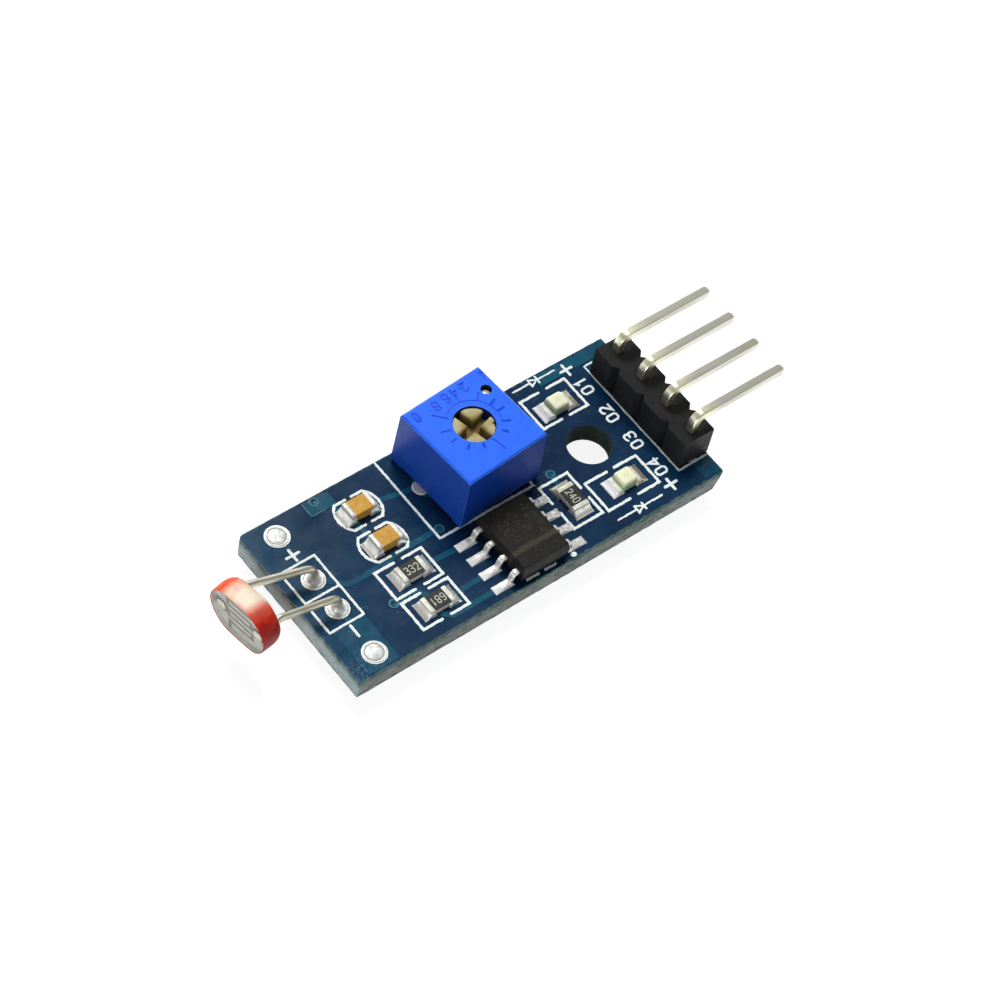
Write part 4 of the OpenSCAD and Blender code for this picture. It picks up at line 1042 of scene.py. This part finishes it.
def add_field(mesh, x0, x1, half_w, height, matrix, cell=0.035, look=0):
    """Solder on a pad: a closed body whose top is height(x, y) above the pad."""
    corner = 0.1
    nx = max(4, round((x1 - x0) / cell))
    ny = max(4, round(2 * half_w / cell))
    middle_x = (x0 + x1) / 2
    half_x = (x1 - x0) / 2
    part = bmesh.new()
    top = []
    floor = []
    for i in range(nx + 1):
        row = []
        for j in range(ny + 1):
            u = (2 * i / nx - 1) * half_x
            v = (2 * j / ny - 1) * half_w
            over_x = max(abs(u) - (half_x - corner), 0)
            over_y = max(abs(v) - (half_w - corner), 0)
            over = math.hypot(over_x, over_y)
            if over > corner:
                shrink = corner / over
                u = math.copysign(half_x - corner + over_x * shrink, u)
                v = math.copysign(half_w - corner + over_y * shrink, v)
                over = corner
            inside = min(half_x - abs(u), half_w - abs(v), corner - over)
            border = smooth_step(inside, -0.02, 0.09)
            row.append((middle_x + u, v, border * height(middle_x + u, v)))
        top.append([part.verts.new(p) for p in row])
        floor.append([part.verts.new((p[0], p[1], 0)) for p in row])
    for i in range(nx):
        for j in range(ny):
            part.faces.new((top[i][j], top[i + 1][j], top[i + 1][j + 1], top[i][j + 1]))
    rim = (
        [(i, 0) for i in range(nx)] + [(nx, j) for j in range(ny)]
        + [(i, ny) for i in range(nx, 0, -1)] + [(0, j) for j in range(ny, 0, -1)]
    )
    for (i, j), (k, m) in zip(rim, rim[1:] + rim[:1]):
        part.faces.new((floor[i][j], floor[k][m], top[k][m], top[i][j]))
    part.faces.new([floor[i][j] for i, j in rim][::-1])
    loose = [vert for vert in part.verts if not vert.link_faces]
    bmesh.ops.delete(part, geom=loose, context="VERTS")
    for face in part.faces:
        face.material_index = look
    join(mesh, part, matrix)


def end_joint(rise, seed):
    """The height of the solder that climbs the metal end of a small chip."""
    half_l = SMD_L / 2
    half_w = SMD_W / 2

    def height(x, y):
        if x < half_l - 0.04 and abs(y) < half_w - 0.04:
            return 0.015
        far = max(x - half_l, 0) / (PAD_SPAN / 2 - half_l)
        beside = max(abs(y) - half_w, 0) / 0.16
        left = max(1 - math.hypot(far, beside), 0)
        climb = rise * left ** 1.7 * (0.9 + wobble((x, y, seed), 1.2, 0.25, seed))
        return 0.05 + wobble((x, y, seed), 1.8, 0.014, seed) + max(climb, 0)

    return height


def foot_joint(seed):
    """The height of the solder round the foot of a comparator lead."""
    heel = 2.42
    toe = CHIP_SPAN / 2
    half_w = 0.205

    def height(x, y):
        if heel + 0.04 < x < toe - 0.04 and abs(y) < half_w - 0.04:
            return 0.015
        ahead = max(x - toe, 0) / 0.6
        behind = max(heel - x, 0) / 0.2
        beside = max(abs(y) - half_w, 0) / 0.16
        climb = 0.2 * max(1 - math.hypot(ahead, behind, beside), 0) ** 1.5
        bead = 0.11 * math.exp(-((x - toe - 0.4) ** 2 + y * y * 1.4) / 0.05)
        return 0.045 + climb + bead + wobble((x, y, seed), 1.8, 0.012, seed)

    return height


def chip_frame(name):
    """The place of a small chip's seat with the turn of its long side, and its height."""
    low, high = box_mm(f"{name}_ends")
    turn = 90 if high.y - low.y > high.x - low.x else 0
    middle = (low + high) / 2
    middle.z = low.z
    return Matrix.Translation(middle) @ turned(turn), high.z - low.z


def make_solder():
    """Solder on the pads and in the holes."""
    chips = bmesh.new()
    # The white look is near-white solder as a painted highlight, on one end of some joints.
    plain, white, tan = 0, 1, 2
    ends = (
        ("capacitor_1", 0.5, plain, plain), ("capacitor_2", 0.5, plain, plain),
        ("resistor_1", 0.36, plain, plain), ("resistor_2", 0.36, plain, plain),
        ("resistor_3", 0.36, tan, plain), ("lamp_1", 0.24, tan, white), ("lamp_2", 0.24, tan, white),
    )
    for number, (name, rise, *looks) in enumerate(ends):
        place = chip_frame(name)[0]
        place.translation.z = SEAT
        for side, look in zip((0, 180), looks):
            shape = end_joint(rise, number * 2.3 + side)
            add_field(chips, PAD_GAP / 2, PAD_SPAN / 2, PAD_W / 2, shape, place @ turned(side), look=look)
    new_piece("chip_joints", chips, ["solder", "bright", "tan_solder"], ["solder_chips"], smooth=60)

    feet = bmesh.new()
    seat = Matrix.Translation((CHIP_AT.x, CHIP_AT.y, SEAT))
    far = CHIP_PAD_SPAN / 2
    # One row of feet takes the near-white solder as a painted highlight.
    for look, side in enumerate((0, 180)):
        for row in range(4):
            matrix = seat @ turned(side) @ Matrix.Translation((0, (row - 1.5) * CHIP_PITCH, 0))
            shape = foot_joint(row * 3.7 + side)
            add_field(feet, far - CHIP_PAD_L, far, CHIP_PAD_W / 2, shape, matrix, 0.03, look)
    new_piece("comparator_joints", feet, ["gull", "bright"], ["solder_comparator"], smooth=60)

    for name, node, holes, drill, above in (
        ("cell_joints", "solder_cell", CELL_HOLES, CELL_DRILL, CELL_FILLET),
        ("test_joints", "solder_test_holes", TEST_HOLES, TEST_DRILL, 0.0),
        ("header_joints", "solder_header", PIN_HOLES, PIN_DRILL, None),
        ("trimpot_joints", "solder_trimpot", TERMINAL_HOLES, TERMINAL_DRILL, None),
    ):
        mesh = bmesh.new()
        for number, hole in enumerate(holes):
            add_hole_joint(mesh, hole, drill, above, number * 4.3 + drill)
        new_piece(name, mesh, ["joint", "dish", "groove"], [node], smooth=60)


def add_hole_joint(mesh, hole, drill, above, seed):
    """Solder in a plated hole, with a cone or a lens below and what shows of it above."""
    bore = drill / 2 - PLATE
    edge = drill / 2 + RING - BARE_RIM
    tip = drill / 2 - 0.05
    below = CONE_H if above != 0.0 else 0.12
    cone = ((tip * 0.45, 1), (tip * 0.78, 0.97), (tip * 0.86, 0.78), (tip, 0.5), ((tip + edge) / 2, 0.24))
    profile = [
        *[(radius, -FOIL - below * share) for radius, share in cone],
        (edge - 0.06, -FOIL - below * 0.08 - 0.02),
        (edge, -FOIL - 0.015),
        (edge - 0.01, -FOIL + 0.001),
        (bore, -FOIL + 0.001),
        (bore, SEAT - 0.001),
    ]
    rim = [(0.01, -0.001), (0, 0.01), (0.03, 0.04)]
    if above is None:
        rim = []
        middle = [(bore * 0.6, 0)]
    elif above:
        rim += [(0.09, 0.05), (0.15, 0.035), (0.24, 0.045), (0.36, 0.08)]
        wire = LEAD_D / 2
        middle = [
            (wire + 0.1, above * 0.45), (wire + 0.03, above * 0.8), (wire + 0.005, above), (wire / 2, above)
        ]
    else:
        rim += [(0.08, 0.048), (0.13, 0.032), (0.2, 0.03), (0.26, 0.05), (0.34, 0.066)]
        middle = [(edge * 0.4, 0.07), (edge * 0.15, 0.066)]
    profile += [(edge - inset, SEAT + lift) for inset, lift in rim]
    profile += [(radius, SEAT + lift) for radius, lift in middle]
    part = bmesh.new()
    add_revolved(part, profile, hole, 48, 0.004, 2.6, seed)
    for side in part.faces:
        spot = side.calc_center_median()
        away = (spot.xy - hole.xy).length
        if spot.z > SEAT + 0.002 and len(side.verts) == 4 or spot.z > SEAT + 0.02:
            if away < edge - 0.18:
                side.material_index = 1
            # The groove inside the rim takes a dark grey as painted shade.
            elif away < edge - 0.12:
                side.material_index = 2
    join(mesh, part)


# Light cell


def cell_radius(angle):
    """The half-width of the disc in a direction, with its flats and softly rounded corners."""
    sharpness = 9
    flat = CELL_FLAT / 2 / max(abs(math.sin(angle)), 0.01)
    return -math.log(math.exp(-sharpness * CELL_D / 2) + math.exp(-sharpness * min(flat, 20))) / sharpness


def cell_ring(depth, inset, sides=96):
    """A ring of the disc at a depth along its axis. An inset of the whole radius is the middle."""
    ring = []
    for angle in all_round(sides):
        radius = max(cell_radius(angle) - inset, 0.02)
        ring.append(Vector((depth, radius * math.cos(angle), radius * math.sin(angle))))
    return ring


def make_cell():
    """The disc: coloured coat, clear front, and the two bent leads with their flat heads."""
    half = CELL_T / 2
    rear = -half + CELL_GLASS
    coat = bmesh.new()
    profile = [
        (half - 0.22, 1.2), (half - 0.22, 0.21), (rear + 0.06, 0.205), (-half + 0.07, 0.115),
        (-half + 0.03, 0.095), (-half + 0.03, 0.075), (-half + 0.07, 0.045), (-half + 0.15, 0.03),
        (-half + 0.26, 0.018), (-0.42, 0.008), (-0.25, 0.0), (-0.05, 0.0), (0.14, 0.008), (0.32, 0.03),
        (0.48, 0.07), (0.62, 0.14), (half - 0.1, 0.24), (half - 0.02, 0.4), (half, 0.6), (half, 1.1),
        (half, 1.6), (half, 2.1),
    ]
    lip = 3
    rings = []
    for depth, inset in profile:
        ring = cell_ring(depth, inset)
        for point in ring:
            out = Vector((0, point.y, point.z)).normalized()
            swell = wobble(point, 0.9, 0.02, 2) + wobble(point, 2.6, 0.006, 5)
            point -= out * (0.015 - swell)
        rings.append([CELL_MATRIX @ point for point in ring])
    made = grid_walls(coat, rings, closed=True)
    seen_through = {vert for ring in made[:lip + 1] for vert in ring}
    for face in coat.faces:
        if all(vert in seen_through for vert in face.verts):
            face.material_index = 1
    new_piece("cell_coat_skin", coat, ["coat", "electrode"], ["cell_coat_resin"], smooth=60)

    window = bmesh.new()
    front = [(rear - 0.01, 1.2), (rear - 0.01, 0.21), (-half + 0.1, 0.14), (-half + 0.055, 0.13),
             (-half + 0.03, 0.17), (-half + 0.02, 0.3), (-half + 0.01, 0.8), (-half + 0.005, 1.3),
             (-half + 0.005, 1.8), (-half + 0.005, 2.1)]
    rings = [[CELL_MATRIX @ point for point in cell_ring(depth, inset)] for depth, inset in front]
    grid_walls(window, rings, closed=True)
    new_piece("cell_front", window, ["glass"], ["cell_window"], smooth=50)

    for i, side in enumerate((1, -1)):
        hole = CELL_HOLES[i]
        across = side * CELL_LEAD_GAP / 2
        corners = [
            Vector((hole.x, hole.y, -TAIL)),
            Vector((hole.x, hole.y, TOP + LEAD_RISES[i])),
            CELL_MATRIX @ Vector((half + LEAD_STRAIGHT, across, 0)),
            CELL_MATRIX @ Vector((rear, across, 0)),
        ]
        wire = bmesh.new()
        add_tube(wire, resampled(rounded_path(corners, LEAD_BEND), 0.25), LEAD_D / 2, 24, 0.008, i * 5.0)
        head = bmesh.new()
        r = HEAD_D / 2
        spun = [(0.12, 0.0), (r - 0.06, 0.0), (r - 0.015, 0.02), (r, 0.06), (r, HEAD_T), (0.12, HEAD_T)]
        add_revolved(head, spun, Vector(), 32)
        join(wire, head, CELL_MATRIX @ Matrix.Translation((rear - HEAD_T, across, 0)) @ turned(90, "Y"))
        new_piece(f"bent_lead_{i + 1}", wire, ["wire"], [f"cell_lead_{i + 1}"], smooth=50)


# Trim potentiometer

# Dial marks: angle, inner and outer radius, whether the outer end is a round spot
DIAL_MARKS = (
    (134, 1.74, 2.7, False),
    (281, 1.62, 2.6, False),
    (165, 1.7, 2.25, False),
    (190, 1.76, 2.08, False),
    (221, 1.66, 2.02, True),
    (253, 1.58, 1.85, True),
    (312, 1.84, 2.12, True),
    (335, 1.88, 2.3, True),
    (1, 1.85, 2.36, True),
    (20, 1.96, 2.36, True),
    (46, 1.96, 2.5, False),
)


def ray(angle, *radii):
    """Places outwards from the rotor, at an angle in the board's own directions."""
    return [arc_point(radius, math.radians(angle), POT_AT) for radius in radii]


def mesh_object(name, mesh, looks):
    """A plain object of a mesh, in the mesh's own unit."""
    data = bpy.data.meshes.new(name)
    mesh.to_mesh(data)
    mesh.free()
    for look in looks:
        data.materials.append(LOOK[look])
    made = bpy.data.objects.new(name, data)
    bpy.context.scene.collection.objects.link(made)
    return made


def make_housing():
    """Blue housing with rounded edges of a paler blue and a dial sunk in its top."""
    engraving = bmesh.new()
    low = POT_TOP_Z - 0.035
    high = POT_TOP_Z + 0.1
    for angle, start, end, spot in DIAL_MARKS:
        add_stroke(engraving, ray(angle, start, end), 0.15, low, high, step=9)
        if spot:
            add_stroke(engraving, ray(angle, end - 0.01, end + 0.02), 0.21, low - 0.01, high, step=9)
    arc = [ray(angle, 1.86)[0] for angle in range(-26, 130, 6)]
    add_stroke(engraving, arc, 0.09, low + 0.015, high, step=9)
    for text, x, y, height in (
        ("0", -2.85, 2.35, 0.72), ("4", 2.87, 2.83, 0.5),
        ("2", 1.19, 2.63, 0.7), ("4", 0.37, 2.58, 0.7), ("6", -0.35, 2.54, 0.7), ("8", -1.25, 2.4, 0.7),
    ):
        spot = (POT_AT.x + x, POT_AT.y + y)
        add_figures(engraving, text, spot, height, 184, 0.13, low, high, narrow=0.85)
    bmesh.ops.recalc_face_normals(engraving, faces=engraving.faces)
    # The dial's grooves take a darker blue as painted shade.
    for face in engraving.faces:
        face.material_index = 2

    looks = ["housing", "worn", "groove_painted_shade", "shade"]
    # The rounded edges take a paler blue with whiter patches.
    draft = mesh_object("housing_draft", bevelled("trimpot_housing", 0.045, 3, material=1), looks)
    cutter = mesh_object("dial_cutters", engraving, looks)
    cut = draft.modifiers.new("dial", "BOOLEAN")
    cut.operation = "DIFFERENCE"
    cut.solver = "EXACT"
    cut.use_self = True
    cut.object = cutter
    bpy.context.view_layer.update()
    result = bmesh.new()
    result.from_object(draft, bpy.context.evaluated_depsgraph_get())
    for part in (draft, cutter):
        bpy.data.objects.remove(part)
    # Painted shade: the walls of the rotor's neck and of the small hole take a near-black blue.
    peep = pot_point(*PEEP_AT)
    for face in result.faces:
        if face.material_index or abs(face.normal.z) > 0.5:
            continue
        middle = face.calc_center_median()
        in_neck = (middle.xy - POT_AT.xy).length < NECK_WALL
        in_peep = (middle.xy - peep.xy).length < PEEP_D / 2 + 0.02
        if in_neck or in_peep:
            face.material_index = 3
    new_piece("blue_housing", result, looks, ["trimpot_housing"], smooth=40, weighted=True)

    contact = bmesh.new()
    r = PEEP_D / 2 - 0.03
    level = POT_TOP_Z - 0.42
    spun = [(r * 0.8, level - 0.2), (r, level - 0.18), (r, level - 0.02), (r * 0.86, level + 0.03),
            (r * 0.45, level + 0.06), (r * 0.12, level + 0.065)]
    add_revolved(contact, spun, peep, 32, 0.006, 2.0, 6.0)
    new_piece("contact_in_small_hole", contact, ["tin"], smooth=50)


# Small chips


def make_ends(name, height, matrix, soft):
    """The two metal ends, softly rounded."""
    mesh = bmesh.new()
    for side in (-1, 1):
        outer = side * SMD_L / 2
        inner = side * (SMD_L / 2 - SMD_END)
        low = (min(outer, inner), -SMD_W / 2, 0)
        high = (max(outer, inner), SMD_W / 2, height)
        add_block(mesh, low, high, soft, 4)
    long_edges = [edge for edge in mesh.edges if edge.calc_length() > 0.25]
    bmesh.ops.subdivide_edges(mesh, edges=long_edges, cuts=4, use_grid_fill=True)
    for vert in mesh.verts:
        vert.co += vert.normal * wobble(vert.co, 3.5, 0.012, height * 7 + matrix.translation.y)
    mesh.transform(matrix)
    new_piece(f"{name}_caps", mesh, ["ends"], [f"{name}_ends"], smooth=50, weighted=True)


def make_middle(name, node, look, matrix, half_l, inset, levels, soft, segments=3):
    """A rounded block between the two ends."""
    mesh = bmesh.new()
    half_w = SMD_W / 2 - inset
    add_block(mesh, (-half_l, -half_w, levels[0]), (half_l, half_w, levels[1]), soft, segments, matrix)
    new_piece(name, mesh, [look], [node], weighted=True)


def lens_block(low, high):
    """A moulded lens: sides that lean in and fall into a softly rounded top."""
    mesh = bmesh.new()
    middle = (low + high) / 2
    size = (high - low) / 2
    lean = 0.05
    round_r = 0.17
    steps = 5
    levels = [(low.z, 0.0), (low.z + 0.02, 0.0)]
    for k in range(steps + 1):
        turn = math.radians(90 * k / steps)
        levels.append((high.z - round_r * (1 - math.sin(turn)), lean + round_r * (1 - math.cos(turn))))
    levels += [(high.z, size.y * 0.75), (high.z, size.y * 0.95)]
    rings = []
    for level, inset in levels:
        ring = []
        half_x, half_y = size.x - inset, size.y - inset
        corner = max(min(0.14, half_x, half_y) * 0.98, 0.01)
        for x, y, start in ((1, 1, 0), (-1, 1, 90), (-1, -1, 180), (1, -1, 270)):
            centre = Vector((middle.x + x * (half_x - corner), middle.y + y * (half_y - corner)))
            ring += [arc_point(corner, math.radians(start + 90 * k / 4), centre, level) for k in range(5)]
        rings.append(ring)
    grid_walls(mesh, rings, closed=True)
    return mesh


def make_small_chips():
    middle_l = SMD_L / 2 - SMD_END
    for name in ("capacitor_1", "capacitor_2"):
        matrix, height = chip_frame(name)
        make_ends(name, height, matrix, 0.09)
        make_middle(
            f"{name}_block", f"{name}_body", "capacitor", matrix, middle_l + 0.1, 0.025,
            (0.025, height - 0.025), 0.05,
        )
    # The resistors' figures, and how each is turned from the long side
    for number, figures, turn in ((1, "332", 0), (2, "681", 180), (3, "240", 180)):
        name = f"resistor_{number}"
        matrix, height = chip_frame(name)
        glaze_z = height - 0.06
        make_ends(name, height, matrix, 0.05)
        make_middle(
            f"{name}_plate", f"{name}_body", "resistor", matrix, middle_l + 0.1, 0.012,
            (0.03, glaze_z), 0.02, 2,
        )
        make_middle(
            f"{name}_coat", f"{name}_glaze", "glaze", matrix, middle_l + 0.015, 0.03,
            (glaze_z - 0.03, height - 0.012), 0.03,
        )
        code = bmesh.new()
        add_figures(
            code, figures, (0, 0), 0.54, turn, 0.058, height - 0.016, height - 0.006, 0.005, narrow=0.74,
            climb=0.003,
        )
        code.transform(matrix)
        new_piece(f"{name}_code", code, ["code"], smooth=30)
    for number in (1, 2):
        name = f"lamp_{number}"
        matrix, height = chip_frame(name)
        make_ends(name, height, matrix, 0.04)
        lens = lens_block(*box_mm(f"{name}_lens"))
        new_piece(f"{name}_dome", lens, [f"lens_{number}"], [f"{name}_lens"], smooth=60)
        base = bevelled(f"{name}_base", 0.02, 2)
        new_piece(f"{name}_plate", base, ["lamp_board"], [f"{name}_base"], weighted=True)


# Bevelled copies and CAD nodes that keep their shape


def make_bevelled_copies():
    for node, name, look, slot, width, segments, body in (
        ("trimpot_rotor", "slotted_rotor", "rotor", "rotor_plastic", 0.035, 2, "rotor"),
        ("comparator_body", "comparator_block", "chip", "chip_resin", 0.05, 3, "module"),
        ("comparator_leads", "comparator_feet", "gull", "tin", 0.03, 2, "module"),
        ("header_body", "header_strip", "header", "header_plastic", 0.06, 3, "module"),
        *[
            (f"header_pin_{i}", f"square_pin_{i}", "pin", "pin_metal", 0.07, 4, "module")
            for i in (1, 2, 3, 4)
        ],
    ):
        mesh = bevelled(node, width, segments)
        new_piece(name, mesh, [look], [node], body, smooth=40, weighted=True)
    marks = bmesh.new()
    top = box_mm("comparator_body")[1].z
    for text, x in (("1234", 16.05), ("0468", 15.0), ("203", 14.05)):
        add_figures(
            marks, text, on_board(x, 3.15), 0.68, -90, 0.06, top - 0.02, top + 0.004, 0.02, climb=0.002
        )
    new_piece("comparator_marks", marks, ["etched"], smooth=30)


def finish_cad_nodes():
    """Materials of the nodes that show as they are."""
    looks = {
        "mask_copper": ["copper_top"],
        "mask_back": ["copper_bottom"],
        "tin": ["solder_pads"],
        "ceramic": ["cell_ceramic", "trimpot_element"],
        "electrode": ["cell_electrodes"],
        "line": ["cell_line"],
        "brass": ["trimpot_wiper"],
        "film": ["trimpot_film"],
        "rubber": ["trimpot_seal"],
        "closing": ["trimpot_fill"],
        "pin": ["trimpot_terminal_1", "trimpot_terminal_2", "trimpot_terminal_3"],
        "die": ["lamp_1_die", "lamp_2_die"],
    }
    for look, nodes in looks.items():
        for node in nodes:
            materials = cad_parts[node].data.materials
            materials.clear()
            materials.append(LOOK[look])


make_board()
make_plated_holes()
make_print()
make_solder()
make_cell()
make_housing()
make_small_chips()
make_bevelled_copies()
finish_cad_nodes()


# Floor, light and camera


def make_floor():
    """A pale floor that the camera and reflections see as white, apart from the object's shadow."""
    mesh = bmesh.new()
    half = 3.0
    for x, y in ((-half, -half), (half, -half), (half, half), (-half, half)):
        mesh.verts.new((x, y, cad_bounds[0][2]))
    mesh.faces.new(mesh.verts)
    floor = mesh_object("floor", mesh, [])
    skin = Surface(
        "floor_white", Base_Color=(0.34, 0.34, 0.34, 1), Roughness=0.9, Specular_IOR_Level=0.1,
        Emission_Color=(1, 1, 1, 1),
    )
    skin.feed(skin.shader.inputs["Emission Strength"], skin.multiply(skin.seen(), 0.88))
    floor.data.materials.append(skin.material)


def make_world():
    """A dim room for matt surfaces. Glossy ones also see a white band round the horizon."""
    world = bpy.data.worlds.new("studio")
    world.use_nodes = True
    bpy.context.scene.world = world
    room = Nodes(world.node_tree)
    room.tree.nodes.clear()
    way = room.node("ShaderNodeTexCoord").outputs["Generated"]
    height = room.node("ShaderNodeSeparateXYZ", way).outputs["Z"]
    band = room.ramp(height, (0.3, (1, 1, 1, 1)), (0.62, (0.27, 0.27, 0.27, 1)))
    dim = room.node("ShaderNodeBackground", (0.16, 0.165, 0.175, 1))
    bright = room.node("ShaderNodeBackground", band)
    shown = room.node("ShaderNodeMixShader", room.seen(), dim.outputs[0], bright.outputs[0])
    room.node("ShaderNodeOutputWorld", shown.outputs[0])


def make_lamp(name, direction, distance, size, power):
    """A round soft lamp that looks at the board from a direction."""
    data = bpy.data.lights.new(name, "AREA")
    data.shape = "DISK"
    data.size = size
    data.energy = power
    lamp = bpy.data.objects.new(name, data)
    bpy.context.scene.collection.objects.link(lamp)
    way = Vector(direction).normalized()
    lamp.location = Vector((-0.008, 0, 0)) + way * distance
    lamp.rotation_euler = way.to_track_quat("Z", "Y").to_euler()
    return lamp


def make_camera():
    """The photograph's own viewpoint."""
    azimuth = math.radians(-49.803)
    elevation = math.radians(53.930)
    roll = math.radians(14.191)
    distance = 0.20857
    target = Vector((-0.007735, -0.000292, 0.0016))
    back = Vector((
        math.sin(azimuth) * math.cos(elevation),
        -math.cos(azimuth) * math.cos(elevation),
        math.sin(elevation),
    ))
    right = (-back).cross(Vector((0, 0, 1))).normalized()
    up = right.cross(-back)
    right_rolled = right * math.cos(roll) + up * math.sin(roll)
    up_rolled = up * math.cos(roll) - right * math.sin(roll)
    data = bpy.data.cameras.new("photo_camera")
    data.sensor_width = 36
    data.sensor_fit = "HORIZONTAL"
    data.lens = 117.08
    data.clip_start = 0.01
    data.clip_end = 20
    camera = bpy.data.objects.new("photo_camera", data)
    bpy.context.scene.collection.objects.link(camera)
    place = Matrix((right_rolled, up_rolled, back)).transposed().to_4x4()
    place.translation = target + back * distance
    camera.matrix_world = place
    bpy.context.scene.camera = camera


make_floor()
make_world()
make_lamp("key", (0.2, 0.4, 0.88), 0.6, 0.3, 3.3).visible_glossy = False
make_lamp("fill", (-1.0, -0.4, 0.28), 0.7, 0.35, 1.7)
make_lamp("shine", (0.17, 0.58, 0.8), 0.6, 0.22, 1.7).visible_diffuse = False
make_camera()
bpy.context.scene.view_settings.view_transform = "Standard"
